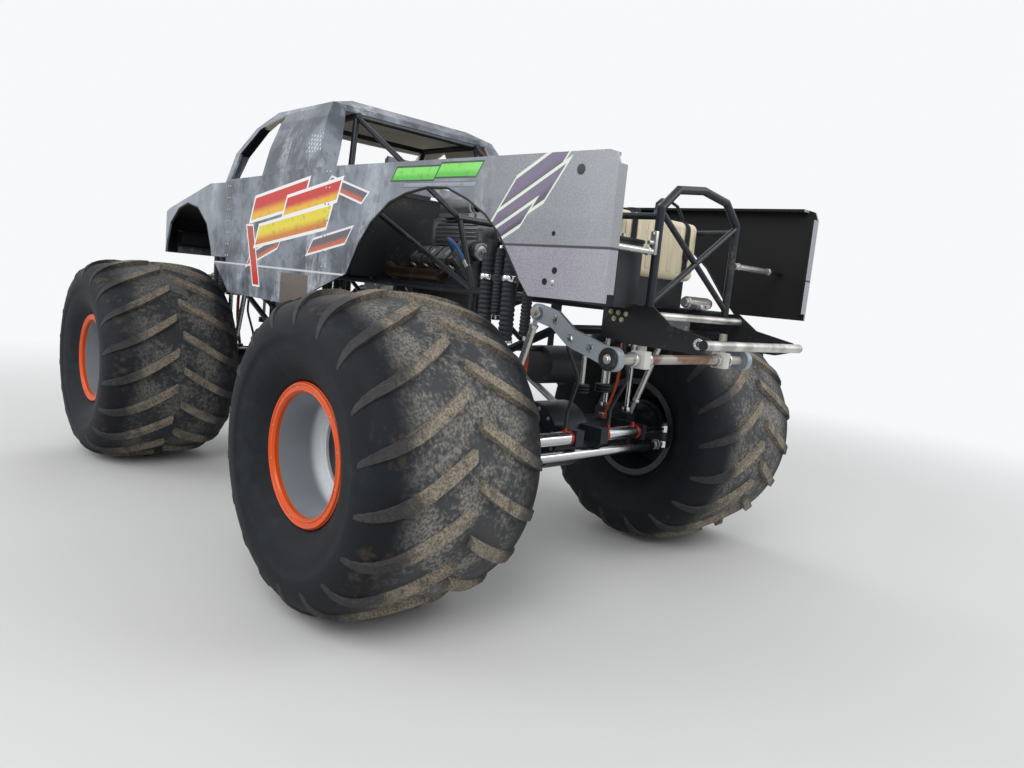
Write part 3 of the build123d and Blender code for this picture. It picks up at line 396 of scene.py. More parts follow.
# Plain finishes: name, dark tone, light tone, metallic, roughness, tone scale, dust cover, wear, bare tone
PLAIN_FINISHES = [
    ("Hub Grey", "1a1c20", "2b2e34", 0.2, 0.45, 9.0, 0.3, 0.1, "6d7176"),
    ("Frame Black", "1b1e23", "2a2e35", 0.1, 0.36, 5.0, 0.28, 0.08, "777b80"),
    ("Plate Black", "131518", "1f2226", 0.0, 0.5, 4.0, 0.3, 0.1, "4b4e52"),
    ("Rod Chrome", "b9bcbf", "dcdddd", 1.0, 0.14, 6.0, 0.15, 0.05, "8e8c88"),
    ("Rod Steel", "8b8d8e", "b4b5b3", 0.85, 0.3, 7.0, 0.25, 0.15, "6f5a49"),
    ("Bright Tube", "a9a9a6", "cfcfcb", 0.75, 0.26, 4.0, 0.2, 0.12, "7e7c76"),
    ("Sheet Alloy", "5b5f63", "7c8083", 0.7, 0.42, 3.0, 0.3, 0.15, "9a9c9d"),
    ("Seat Cloth", "1c1d21", "2a2c31", 0.0, 0.9, 14.0, 0.2, 0.0, "1c1d21"),
    ("Control Black", "15161a", "26282d", 0.0, 0.55, 12.0, 0.2, 0.05, "4a4c50"),
    ("Engine Grey", "24272b", "43474c", 0.45, 0.5, 9.0, 0.4, 0.2, "7b7f83"),
    ("Blower Alloy", "77797b", "a3a5a6", 0.8, 0.38, 8.0, 0.25, 0.1, "5f6163"),
    ("Header Bronze", "2d241f", "5a463a", 0.7, 0.42, 10.0, 0.3, 0.15, "3c3a3c"),
    ("Sleeve Black", "212328", "34373c", 0.0, 0.62, 10.0, 0.3, 0.1, "4b4d50"),
    ("Hose Rubber", "141519", "24262a", 0.0, 0.5, 20.0, 0.25, 0.0, "24262a"),
    ("Strap Orange", "7d3320", "a64b2b", 0.0, 0.8, 30.0, 0.3, 0.1, "6d4030"),
    ("Bolt Cream", "a39a80", "cfc7ab", 0.3, 0.45, 20.0, 0.2, 0.2, "6f6a58"),
    ("White Block", "b9b8b2", "d8d7d1", 0.0, 0.5, 14.0, 0.35, 0.1, "84827b"),
    ("Fitting Red", "8f2019", "bb3a2a", 0.5, 0.3, 12.0, 0.15, 0.1, "b0b0ae"),
    ("Fitting Blue", "1e3f78", "3565a8", 0.6, 0.28, 12.0, 0.12, 0.1, "b0b0ae"),
    ("Lamp Lens", "b9c0c4", "dfe4e6", 0.0, 0.08, 16.0, 0.08, 0.0, "dfe4e6"),
    ("Strap Black", "141518", "222429", 0.0, 0.85, 40.0, 0.2, 0.0, "222429"),
]


def soiled(tree, shader, surface, cover):
    """Lays road dust over a surface, gives it a fine grain, and returns the mask of the dust."""
    dusty = use(tree, "Dust", scale=5.0, cover=cover)["Mask"]
    feed(tree, shader, "Base Color", mix(tree, times(tree, dusty, 0.3), surface, tint("7d776c")))
    bump(tree, shader, use(tree, "Grain", scale=160.0, contrast=0.5)["Height"], 0.12, 0.002)
    return dusty


def plain_finish(name, dark, light, metallic, rough, scale, cover, wear, bare):
    """A finish with slow tone, fine grain, some dust and some wear."""
    gloss = 0.3 if metallic < 0.15 else 0.5
    material, tree, shader = paint(name, metallic=metallic, gloss=gloss)
    surface = mix(tree, noise(tree, scale, 4.0), tint(dark), tint(light))
    if wear:
        surface = mix(tree, use(tree, "Wear", scale=22.0, amount=wear)["Mask"], surface, tint(bare))
    dusty = soiled(tree, shader, surface, cover)
    feed(tree, shader, "Roughness", ramp(tree, dusty, 0.0, 1.0, rough, min(1.0, rough + 0.3)))
    return material


def arm_alloy(colours):
    """Pale arms, with a bare cross tube that rusts away from its middle."""
    material, tree, shader = paint("Arm Alloy", metallic=0.35, roughness=0.42)
    _, y, _ = axes(tree, coords(tree))
    flat = mix(tree, noise(tree, 5.0), colours.arm, tint("a3abb2"))
    inner = ramp(tree, unsigned(tree, y), 0.585, 0.58)
    rust = mix(tree, ramp(tree, noise(tree, 5.0, 5.0), 0.45, 0.55), tint("785a4a"), tint("a9a59c"))
    middle = ramp(tree, unsigned(tree, y), 0.36, 0.3)
    tube = mix(tree, middle, tint("b4b0a6"), rust)
    wear = use(tree, "Wear", scale=18.0, amount=0.15)["Mask"]
    surface = mix(tree, inner, flat, tube)
    feed(tree, shader, "Base Color", mix(tree, times(tree, wear, 0.5), surface, tint("6d7782")))
    bump(tree, shader, use(tree, "Grain", scale=160.0, contrast=0.5)["Height"], 0.1, 0.002)
    return material


def cross_tubes(colours):
    """Satin black bars, with the bare tow tubes bright at both ends of the frame."""
    material, tree, shader = paint("Cross Tubes", roughness=0.34)
    x, _, z = axes(tree, coords(tree))
    past_frame = calc(tree, "GREATER_THAN", unsigned(tree, x), 2.54)
    end = times(tree, past_frame, calc(tree, "LESS_THAN", z, 1.72))
    black = mix(tree, noise(tree, 5.0), tint("1b1e23"), colours.frame_paint)
    bare = mix(tree, ramp(tree, noise(tree, 7.0, 5.0), 0.4, 0.6), tint("a5a39e"), tint("d2d1cc"))
    rust = times(tree, use(tree, "Wear", scale=14.0, amount=0.25)["Mask"], end)
    surface = mix(tree, rust, mix(tree, end, black, bare), tint("77604a"))
    soiled(tree, shader, surface, 0.28)
    feed(tree, shader, "Metallic", times(tree, end, 0.8))
    return material


def tank_cream(colours):
    """Cream plastic with faint stains."""
    material, tree, shader = paint("Tank Cream", roughness=0.45)
    grain = use(tree, "Grain", scale=90.0, contrast=0.5)
    cream = mix(tree, grain["Tone"], tint("cfc2a2"), tint("ded4b9"))
    stain = use(tree, "Dust", scale=3.0, cover=0.3)["Mask"]
    feed(tree, shader, "Base Color", mix(tree, times(tree, stain, 0.18), cream, tint("9a8c70")))
    bump(tree, shader, grain["Height"], 0.15, 0.003)
    return material


def hose_lines(colours):
    """Black hoses, with the one in the engine bay in a blue sleeve."""
    material, tree, shader = paint("Hose Lines", roughness=0.5)
    _, _, z = axes(tree, coords(tree))
    black = mix(tree, noise(tree, 20.0), tint("141519"), tint("24262a"))
    blue = mix(tree, noise(tree, 20.0), tint("1f4266"), tint("33638f"))
    surface = mix(tree, calc(tree, "GREATER_THAN", z, 1.8), black, blue)
    soiled(tree, shader, surface, 0.25)
    return material


# The printed wrap: colours by place, slanted bars for the bright areas

# Bars: x, z, half length, half height, slant, tilt, line
RED_BARS = [
    (0.43, 2.2, 0.40, 0.078, 0.45, 0.14, 0.022),
    (-0.05, 2.21, 0.36, 0.058, 0.45, 0.14, 0.022),
]
YELLOW_BARS = [
    (0.22, 2.02, 0.52, 0.066, 0.45, 0.14, 0.022),
]
DROP_BARS = [
    (0.80, 1.80, 0.05, 0.22, -0.35, 0.0, 0.014),
]
GREEN_BARS = [
    (-1.23, 2.33, 0.2, 0.034, 0.7, -0.02, 0.01),
    (-1.62, 2.335, 0.17, 0.034, 0.7, -0.02, 0.01),
]
SLATE_BARS = [
    (-1.45, 2.262, 0.32, 0.012, 0.7, -0.02, 0.003),
]
PLUM_BARS = [
    (-2.2, 2.27, 0.2, 0.062, 1.2, 0.5, 0.018),
    (-2.12, 2.14, 0.22, 0.05, 1.2, 0.5, 0.018),
    (-2.04, 2.04, 0.13, 0.03, 1.2, 0.5, 0.018),
]
SWOOP_BARS = [
    (0.62, 1.84, 0.25, 0.035, 0.9, 0.3, 0.014),
    (-0.5, 2.26, 0.22, 0.035, 0.9, -0.25, 0.014),
    (-0.32, 1.93, 0.24, 0.04, 0.9, 0.18, 0.014),
]
# Areas of bars: rows, foot tone, head tone, outline tone
BAR_AREAS = [
    (SWOOP_BARS, "c0623c", "5d5560", "dfe0e2"),
    (DROP_BARS, "c4281d", "b4401f", "e6e6e4"),
    (YELLOW_BARS, "c7772a", "dccb33", "e6e6e4"),
    (RED_BARS, "e0b028", "c22a22", "e6e6e4"),
    (GREEN_BARS, "4fb83a", "79d45a", "24402a"),
    (SLATE_BARS, "80868f", "8f959e", "3d4148"),
    (PLUM_BARS, "453c52", "6a6078", "d3dccd"),
]


def lay_bars(tree, surface, rows, low, high, line):
    """Lays a row of bars over the wrap, each fading from its foot tone to its head tone."""
    chips = ramp(tree, noise(tree, 30.0, 5.0), 0.56, 0.62, 0.0, 0.25)
    for x, z, half_length, half_height, slant, tilt, width in rows:
        bar = use(tree, "Bar", x=x, z=z, half_length=half_length, half_height=half_height,
                  slant=slant, tilt=tilt, line=width)
        fill = mix(tree, ramp(tree, bar["Fade"], 0.15, 0.6), tint(low), tint(high))
        surface = mix(tree, bar["Outline"], surface, tint(line))
        surface = mix(tree, bar["Fill"], surface, mix(tree, chips, fill, tint("5a4a44")))
    return surface


def patch(tree, x, z, low_x, high_x, low_z, high_z, soft=0.006):
    """A soft-edged rectangle on the side of the body."""
    across = unsigned(tree, minus(tree, x, (low_x + high_x) / 2))
    along = unsigned(tree, minus(tree, z, (low_z + high_z) / 2))
    wide = (high_x - low_x) / 2
    tall = (high_z - low_z) / 2
    return times(tree, ramp(tree, across, wide, wide - soft), ramp(tree, along, tall, tall - soft))


def dot_rows(tree, x, z):
    """Rows of small pale dots."""
    lean = plus(tree, z, times(tree, x, -0.12))
    columns = calc(tree, "SINE", times(tree, x, 150.0))
    lines = calc(tree, "SINE", times(tree, lean, 110.0))
    return ramp(tree, times(tree, columns, lines), 0.3, 0.5)


def wrap_ground(tree, colours, x, z):
    """The wrap's weathered greys: clouds, streaks and smudges, paler over the hood and on a rear panel."""
    cloud = noise(tree, 2.1, 7.0, 0.66)
    streak = noise(tree, 3.4, 7.0, 0.7, (1.3, 1.0, 0.4))
    flecks = noise(tree, 18.0, 8.0, 0.75)
    base = mix(tree, ramp(tree, cloud, 0.4, 0.6), colours.wrap_dark, colours.wrap_mid)
    pale = times(tree, ramp(tree, streak, 0.5, 0.64), ramp(tree, flecks, 0.35, 0.6, 0.25, 1.0))
    skin = mix(tree, times(tree, pale, 0.8), base, colours.wrap_pale)
    smudge = ramp(tree, noise(tree, 7.0, 6.0, 0.7), 0.54, 0.66, 0.0, 0.55)
    skin = mix(tree, smudge, skin, tint("353a44"))
    hood = times(tree, ramp(tree, x, 1.2, 1.6), ramp(tree, z, 1.95, 2.1))
    skin = mix(tree, times(tree, hood, 0.45), skin, tint("a2a9b2"))
    lean = plus(tree, z, times(tree, x, 0.1))
    panel = times(tree, ramp(tree, lean, 1.98, 2.0), ramp(tree, x, -0.62, -0.64))
    return mix(tree, times(tree, panel, 0.4), skin, tint("8a9099"))


def bedside_tone(tree, skin, speck, x, z):
    """Fades the wrap into the finely specked tone of the bedsides, with a dark line along it."""
    fade_x = ramp(tree, x, -2.1, -2.75)
    upper = mix(tree, speck, tint("686a70"), tint("92959b"))
    lower = mix(tree, speck, tint("706d78"), tint("a29eaa"))
    rear_tone = mix(tree, ramp(tree, z, 1.95, 1.956), lower, upper)
    rear_tone = mix(tree, times(tree, fade_x, 0.3), rear_tone, tint("b7b9bd"))
    skin = mix(tree, times(tree, ramp(tree, x, -1.75, -2.05), 0.9), skin, rear_tone)
    return mix(tree, patch(tree, x, z, -4.0, -2.02, 1.946, 1.964), skin, tint("2b2c31"))


def side_print(tree, skin, speck, x, z):
    """The pale line along the sill crease, a painted highlight, and the plain patches, the dots and the
    slanted bars on the body's sides.
    """
    # Pale line along the crease over the sill: a painted highlight on the seam's edge.
    skin = mix(tree, patch(tree, x, z, -0.75, 4.0, 1.713, 1.731), skin, tint("c9ccd0"))
    brown = mix(tree, speck, tint("4f4540"), tint("6a5f58"))
    skin = mix(tree, patch(tree, x, z, -0.08, 0.33, 1.0, 1.697), skin, brown)
    pillar = times(tree, patch(tree, x, z, -0.4, -0.16, 2.5, 3.0, 0.05), 0.75)
    skin = mix(tree, pillar, skin, tint("2b2f3c"))
    roof_side = times(tree, patch(tree, x, z, 0.25, 0.765, 2.735, 2.89, 0.012), 0.6)
    skin = mix(tree, roof_side, skin, tint("4a5060"))
    rows = times(tree, patch(tree, x, z, -0.24, 0.14, 2.53, 2.67), dot_rows(tree, x, z))
    skin = mix(tree, rows, skin, tint("c4c8cd"))
    for area in BAR_AREAS:
        skin = lay_bars(tree, skin, *area)
    return skin


def body_wrap(colours):
    """Printed wrap on the outside of the body. Faces that point down are near-black as painted shade, and
    faces that point inward are near-black, partly the body's dark inner side and partly painted shade; under
    the roof these faces get a cream liner, the fibreglass's own colour made extra pale as painted light.
    """
    material, tree, shader = paint("Body Wrap", gloss=0.4)
    x, y, z = axes(tree, coords(tree))
    _, normal_y, normal_z = axes(tree, put(tree, "ShaderNodeTexCoord").outputs["Normal"])
    speck = ramp(tree, noise(tree, 130.0, 4.0, 0.8), 0.3, 0.7)
    plain = bedside_tone(tree, wrap_ground(tree, colours, x, z), speck, x, z)
    printed = side_print(tree, plain, speck, x, z)
    skin = mix(tree, ramp(tree, unsigned(tree, normal_y), 0.6, 0.7), plain, printed)
    # Inward faces go near-black: partly the body's dark inner side, partly painted shade.
    inward = times(tree, times(tree, normal_y, calc(tree, "SIGN", y)), -1.0)
    inside = calc(tree, "GREATER_THAN", inward, 0.25)
    # Faces that point down go near-black: painted shade.
    downward_shaded_face = calc(tree, "GREATER_THAN", times(tree, normal_z, -1.0), 0.4)
    roof = calc(tree, "GREATER_THAN", z, 2.8)
    # Under the roof a cream liner, the fibreglass's own colour made extra pale as painted light; elsewhere
    # near-black, which is painted shade and, on inward faces, the body's dark inner side.
    painted_shade_and_lit_liner = mix(tree, roof, tint("08090a"), tint("ebe0cb"))
    inward_and_shaded_faces = calc(tree, "MAXIMUM", inside, downward_shaded_face)
    feed(tree, shader, "Base Color", mix(tree, inward_and_shaded_faces, skin, painted_shade_and_lit_liner))
    feed(tree, shader, "Roughness", ramp(tree, inward_and_shaded_faces, 0.0, 1.0, 0.4, 0.8))
    feed(tree, shader, "Coat Weight", ramp(tree, inward_and_shaded_faces, 0.0, 1.0, 0.12, 0.0))
    bump(tree, shader, use(tree, "Grain", scale=130.0, contrast=0.5)["Height"], 0.05, 0.002)
    return material


SHARED_GROUPS = {"Dust": dust_group, "Grain": grain_group, "Wear": wear_group, "Bar": bar_group}
SPECIAL_FINISHES = {
    "Tyre Rubber": tyre_rubber, "Lug Rubber": lug_rubber, "Rim Alloy": rim_alloy, "Ring Orange": ring_orange,
    "Arm Alloy": arm_alloy, "Cross Tubes": cross_tubes, "Tank Cream": tank_cream, "Body Wrap": body_wrap,
    "Hose Lines": hose_lines,
}

# Which finish each CAD node gets, by the start of its name
NODE_FINISHES = {
    "tyre": "Tyre Rubber", "rim": "Rim Alloy", "ring": "Ring Orange", "hub": "Hub Grey",
    "knuckle": "Frame Black", "tie_rod": "Rod Chrome", "ram_rods": "Rod Chrome",
    "frame_lower": "Frame Black", "roll_cage": "Frame Black", "cross_bars": "Cross Tubes",
    "tow_frames": "Plate Black", "axle": "Frame Black", "shocks": "Sleeve Black",
    "link_bars": "Rod Steel", "sway_bars": "Arm Alloy", "bedsides": "Body Wrap",
    "body_cab": "Body Wrap", "body_nose": "Body Wrap", "nose_trim": "Control Black",
    "cab_floor": "Plate Black", "seat": "Seat Cloth", "controls": "Control Black",
    "engine": "Engine Grey", "blower": "Blower Alloy", "headers": "Header Bronze",
    "driveline": "Hub Grey", "fuel_tank": "Tank Cream", "hoses": "Hose Lines",
}


class TRUCK_OT_finishes(bpy.types.Operator):
    """Build the shared node groups and finishes, and paint the CAD nodes"""
    bl_idname = "truck.finishes"
    bl_label = "Finishes"

    def execute(self, context):
        for name, build in SHARED_GROUPS.items():
            GROUPS[name] = build()
        for row in PLAIN_FINISHES:
            FINISH[row[0]] = plain_finish(*row)
        for name, build in SPECIAL_FINISHES.items():
            FINISH[name] = build(context.scene.truck_colours)
        for name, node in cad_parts.items():
            kinds = [kind for kind in NODE_FINISHES if name.startswith(kind)]
            if not kinds:
                raise RuntimeError(f"no finish for {name}")
            node.data.materials[0] = FINISH[NODE_FINISHES[max(kinds, key=len)]]
        return {"FINISHED"}


# Mesh helpers


def finished(name, bm, finish, body, angle=35):
    """Turns a finished bmesh into a piece that rides on a body."""
    bmesh.ops.remove_doubles(bm, verts=bm.verts, dist=1e-5)
    bmesh.ops.recalc_face_normals(bm, faces=bm.faces)
    mesh = bpy.data.meshes.new(name)
    bm.to_mesh(mesh)
    bm.free()
    names = finish if isinstance(finish, list) else [finish]
    for each in names:
        mesh.materials.append(FINISH[each])
    mesh.shade_smooth()
    mesh.set_sharp_from_angle(angle=math.radians(angle))
    piece = bpy.data.objects.new(name, mesh)
    bpy.context.scene.collection.objects.link(piece)
    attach(piece, body)
    return piece


def turned(bm, profile, origin, direction=(0, 0, 1), steps=24, slot=0):
    """Adds a turned form: radius and height pairs, spun round a line through origin."""
    verts = [bm.verts.new((radius, 0, height)) for radius, height in profile]
    edges = [bm.edges.new(pair) for pair in zip(verts, verts[1:])]
    before = set(bm.faces)
    bmesh.ops.spin(bm, geom=verts + edges, cent=(0, 0, 0), axis=(0, 0, 1), angle=2 * math.pi,
                   steps=steps, use_merge=True)
    faces = [face for face in bm.faces if face not in before]
    for face in faces:
        face.material_index = slot
    turn = Vector((0, 0, 1)).rotation_difference(Vector(direction)).to_matrix().to_4x4()
    points = list({vert for face in faces for vert in face.verts})
    bmesh.ops.transform(bm, matrix=Matrix.Translation(origin) @ turn, verts=points)
    return faces


def rod(bm, start, end, radius, steps=16, slot=0):
    """Adds a closed round rod between two points."""
    start, end = Vector(start), Vector(end)
    length = (end - start).length
    rim = min(0.15 * radius, 0.002)
    profile = [(0, 0), (radius - rim, 0), (radius, rim), (radius, length - rim), (radius - rim, length),
               (0, length)]
    return turned(bm, profile, start, end - start, steps, slot)


def crate(bm, low, high, bevel=0.004, slot=0):
    """Adds a box between two corners with rounded edges."""
    low, high = Vector(low), Vector(high)
    size = Matrix.Diagonal((*[abs(v) for v in high - low], 1))
    made = bmesh.ops.create_cube(bm, size=1, matrix=Matrix.Translation((low + high) / 2) @ size)
    edges = list({edge for vert in made["verts"] for edge in vert.link_edges})
    faces = list({face for vert in made["verts"] for face in vert.link_faces})
    if bevel:
        cut = bmesh.ops.bevel(bm, geom=edges, offset=bevel, segments=2, affect="EDGES", profile=0.5,
                              material=-1)
        faces = list(set(face for face in faces if face.is_valid) | set(cut["faces"]))
    for face in faces:
        face.material_index = slot
    return faces


def hexes(bm, places, radius, height, direction=(0, 1, 0), slot=0):
    """Adds hexagon bolt heads with washers at a row of places."""
    washer, thick = 1.5 * radius, 0.25 * height
    eased, flat = 0.85 * radius, 0.85 * height
    for place in places:
        turned(bm, [(0, 0), (washer, 0), (washer, thick), (0, thick)], place, direction, 18, slot)
        turned(bm, [(0, 0), (radius, 0), (radius, flat), (eased, height), (0, height)], place, direction, 6,
               slot)


def collar(bm, inner, outer, height, ease, place, direction=(0, 0, 1), steps=28, slot=0):
    """Adds a ring with eased outer edges, or a disc where the inner radius is zero."""
    inset, rise = ease
    profile = [(inner, 0), (outer - inset, 0), (outer, rise), (outer, height - rise),
               (outer - inset, height), (inner, height)]
    turned(bm, profile, place, direction, steps, slot)


def circle_spots(centre, radius, count, start=0.0):
    """Evenly spread places on an upright circle that faces sideways."""
    spots = []
    for step in range(count):
        angle = 2 * math.pi * (step + start) / count
        spots.append(Vector(centre) + radius * Vector((math.sin(angle), 0, math.cos(angle))))
    return spots


def extruded(bm, face, spots):
    """Extrudes a face and lays the new end's corners on the given spots. The old face stays as it was."""
    made = bmesh.ops.extrude_face_region(bm, geom=[face])["geom"]
    fresh = next(item for item in made if isinstance(item, bmesh.types.BMFace))
    for loop, spot in zip(fresh.loops, spots):
        loop.vert.co = spot
    return fresh


def sweep(bm, points, radius, steps=10, slot=0):
    """Adds a round tube with closed ends along a row of points."""
    points = [Vector(point) for point in points]
    aims = [(b - a).normalized() for a, b in zip(points, points[1:])]
    side = aims[0].orthogonal().normalized()
    face = None
    for count, point in enumerate(points):
        before = aims[max(count - 1, 0)]
        after = aims[min(count, len(aims) - 1)]
        aim = (before + after).normalized()
        side = (side - aim * side.dot(aim)).normalized()
        other = aim.cross(side)
        stretch = 1 / max(0.5, aim.dot(after))
        ring = []
        for step in range(steps):
            angle = 2 * math.pi * step / steps
            ring.append(point + radius * stretch * (math.cos(angle) * side + math.sin(angle) * other))
        if face is None:
            face = bm.faces.new([bm.verts.new(spot) for spot in ring])
            face.material_index = slot
        else:
            fresh = extruded(bm, face, ring)
            if count > 1:
                bm.faces.remove(face)
            face = fresh


def band(bm, outline, width, thickness, slot=0):
    """Adds a flat band: an outline in XZ at one Y, made as wide as a vector and given a thickness."""
    verts = [bm.verts.new(point) for point in outline]
    edges = [bm.edges.new(pair) for pair in zip(verts, verts[1:])]
    made = bmesh.ops.extrude_edge_only(bm, edges=edges)["geom"]
    fresh = [item for item in made if isinstance(item, bmesh.types.BMVert)]
    bmesh.ops.translate(bm, vec=width, verts=fresh)
    faces = [item for item in made if isinstance(item, bmesh.types.BMFace)]
    thick = bmesh.ops.solidify(bm, geom=faces, thickness=thickness)["geom"]
    for item in faces + [item for item in thick if isinstance(item, bmesh.types.BMFace)]:
        if item.is_valid:
            item.material_index = slot


# Tyres: a spun carcass and two rows of curved tread bars

# Carcass line: distance from the tyre's middle, radius
CARCASS = [
    (0.0, 0.803), (0.13, 0.8005), (0.265, 0.793), (0.345, 0.784), (0.40, 0.773), (0.45, 0.754),
    (0.487, 0.726), (0.511, 0.688), (0.523, 0.64), (0.526, 0.60), (0.5235, 0.575), (0.521, 0.572),
    (0.516, 0.53), (0.506, 0.49), (0.488, 0.45), (0.463, 0.415), (0.437, 0.385), (0.43, 0.372),
    (0.41, 0.362), (0.405, 0.35), (0.405, 0.322),
]
CARCASS_STEPS = 120
# Tread bar: distance from the middle, lag round the tyre in degrees, share of full height and of full width
LUG_LINE = [
    (0.022, 0.6, 1.0, 0.9), (0.09, -2.6, 1.0, 1.0), (0.17, -6.2, 1.0, 1.0), (0.25, -9.6, 0.98, 1.0),
    (0.32, -12.2, 0.92, 0.97), (0.38, -14.2, 0.82, 0.92), (0.43, -15.7, 0.66, 0.86),
    (0.47, -16.9, 0.48, 0.78), (0.497, -18.0, 0.3, 0.66), (0.515, -19.2, 0.14, 0.5),
    (0.523, -20.4, 0.03, 0.3),
]
# A bar leans over from here on, over this width; it flares at its foot, which sits in the carcass
SHOULDER_START = 0.42
SHOULDER_WIDTH = 0.1
LUG_FLARE = 1.25
LUG_SINK = 0.012


def carcass_radius(off):
    """Radius of the carcass line at a distance from the tyre's middle."""
    for (a, high), (b, low) in zip(CARCASS, CARCASS[1:]):
        if a <= off <= b:
            return high + (low - high) * (off - a) / (b - a)
    return CARCASS[-1][1]


def lug_section(sizes, side, turn, row):
    """The four corners of a tread bar at one row of its line."""
    off, lag, tall, wide = row
    root = carcass_radius(off)
    steep = min(1.0, max(0.0, (off - SHOULDER_START) / SHOULDER_WIDTH))
    corners = []
    for across, raised in ((-LUG_FLARE, False), (-1.0, True), (1.0, True), (LUG_FLARE, False)):
        rise = sizes.lug_height * tall if raised else -LUG_SINK
        radius = root + rise * (1 - 0.45 * steep)
        away = off + 0.7 * steep * max(rise, 0)
        angle = math.radians(turn + lag) + across * sizes.lug_width * wide / 2 / root
        corners.append(Vector((radius * math.sin(angle), side * away, radius * math.cos(angle))))
    return corners


def add_lug(bm, sizes, middle, side, turn):
    """Extrudes one tread bar's section along its curved line over the shoulder."""
    section = lug_section(sizes, side, turn, LUG_LINE[0])
    face = bm.faces.new([bm.verts.new(middle + spot) for spot in section])
    face.material_index = 1
    for count, row in enumerate(LUG_LINE[1:]):
        fresh = extruded(bm, face, [middle + spot for spot in lug_section(sizes, side, turn, row)])
        if count > 0:
            bm.faces.remove(face)
        face = fresh


class TRUCK_OT_tyres(bpy.types.Operator):
    """Spin the four tyres and lay their curved tread bars"""
    bl_idname = "truck.tyres"
    bl_label = "Tyres"

    def execute(self, context):
        sizes = context.scene.truck_sizes
        for end, x, _ in ENDS:
            for side, way in SIDES:
                bm = bmesh.new()
                half = [(radius, off) for off, radius in CARCASS]
                profile = [(radius, -off) for radius, off in reversed(half[1:])] + half
                middle = Vector((0, way * WHEEL_Y, 0))
                turned(bm, profile, middle, (0, 1, 0), CARCASS_STEPS)
                pitch = 360 / sizes.lug_count
                for count in range(sizes.lug_count):
                    add_lug(bm, sizes, middle, way, count * pitch)
                    add_lug(bm, sizes, middle, -way, (count + 0.5) * pitch)
                bmesh.ops.translate(bm, vec=(x, 0, AXLE_Z), verts=bm.verts)
                name = f"{end}_{side}"
                tyre = finished(f"rubber_{name}", bm, ["Tyre Rubber", "Lug Rubber"], f"wheel_{name}", 40)
                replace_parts(tyre, f"tyre_{name}")
        return {"FINISHED"}


# Wheel trim: places along the axle count outwards from the tyre's middle

# Rolled edges of the outer ring: radius, radius of the bead
RING_BEADS = ((0.351, 0.0075), (0.3225, 0.006))
BEAD_DEPTH = 0.4335
STUD = [(0, 0), (0.005, 0), (0.005, 0.002), (0.003, 0.004), (0, 0.004)]
STUD_CIRCLE = 0.337
STUD_DEPTH = 0.4345
STEP_RING = [(0.309, 0.0), (0.309, 0.012), (0.3, 0.02), (0.264, 0.022), (0.258, 0.018), (0.258, 0.0)]
STEP_DEPTH = 0.141
# Nuts of the disc and bolts of the hub: count, circle, depth, bolt radius, bolt height
WHEEL_NUTS = ((10, 0.17, -0.018, 0.016, 0.024), (8, 0.085, 0.1, 0.008, 0.01))


def bead_profile(radius, tube):
    """A round bead's closed outline at a radius."""
    angles = [math.radians(angle) for angle in range(0, 361, 30)]
    return [(radius + tube * math.cos(angle), tube * math.sin(angle)) for angle in angles]


class TRUCK_OT_wheel_trim(bpy.types.Operator):
    """Add step rings, rolled ring edges, studs and hub bolts to the wheels"""
    bl_idname = "truck.wheel_trim"
    bl_label = "Wheel Trim"

    def execute(self, context):
        for end, x, _ in ENDS:
            for side, way in SIDES:
                name = f"{end}_{side}"
                out = Vector((0, way, 0))
                middle = Vector((x, way * WHEEL_Y, AXLE_Z))
                step, studs, nuts = bmesh.new(), bmesh.new(), bmesh.new()
                turned(step, STEP_RING, middle + STEP_DEPTH * out, out, 72)
                for radius, tube in RING_BEADS:
                    turned(studs, bead_profile(radius, tube), middle + BEAD_DEPTH * out, out, 72)
                for spot in circle_spots(middle + STUD_DEPTH * out, STUD_CIRCLE, 12, 0.5):
                    turned(studs, STUD, spot, out, 8, 1)
                for count, circle, depth, radius, height in WHEEL_NUTS:
                    hexes(nuts, circle_spots(middle + depth * out, circle, count), radius, height, out)
                finished(f"step_ring_{name}", step, "Rim Alloy", f"wheel_{name}", 30)
                finished(f"ring_beads_{name}", studs, ["Ring Orange", "Rod Steel"], f"wheel_{name}", 50)
                finished(f"hub_nuts_{name}", nuts, "Rod Steel", f"wheel_{name}")
        return {"FINISHED"}


# Shocks

# Places along the truck count from the axle towards the truck's middle
STRUT_PLACES = (-0.150, 0.040)
# Reservoirs: place, foot, head
RESERVOIR_PLACES = ((-0.055, 1.562, 1.954), (-0.300, 1.470, 1.804))
SHOCK_Y = 0.6
STRUT_FOOT = 0.992
STRUT_LOW = 1.446
STRUT_HIGH = 1.924
CLAMP_Z = 1.7765
ROD_RADIUS = 0.0188
ROD_FOOT = [(0.018, 0), (0.034, 0.002), (0.036, 0.03), (0.018, 0.034)]
SEAL_RING = [(0.038, 0), (0.045, 0), (0.045, 0.014), (0.038, 0.014)]
SLEEVE_GROOVE = 0.0045
# Sleeve of a reservoir: radius, pitch of its ribs, depth of their grooves
RESERVOIR_SLEEVE = (0.0305, 0.02, 0.0035)
# Collars: inner radius, outer radius, height, easing
STRUT_CLAMP = (0.038, 0.049, 0.033, (0.0015, 0.003))
RESERVOIR_CAP = (0, 0.0275, 0.03, (0.0035, 0.004))


def ribbed(bm, place, low, high, radius, pitch, depth):
    """Adds one ribbed sleeve that stands upright, from a low to a high edge."""
    profile = [(radius - depth - 0.002, low)]
    for count in range(int((high - low) / pitch)):
        foot = low + count * pitch
        profile += [(radius - depth, foot + 0.1 * pitch), (radius, foot + 0.32 * pitch),
                    (radius, foot + 0.68 * pitch), (radius - depth, foot + 0.9 * pitch)]
    profile.append((radius - depth - 0.002, high))
    turned(bm, profile, place, UP, 28)


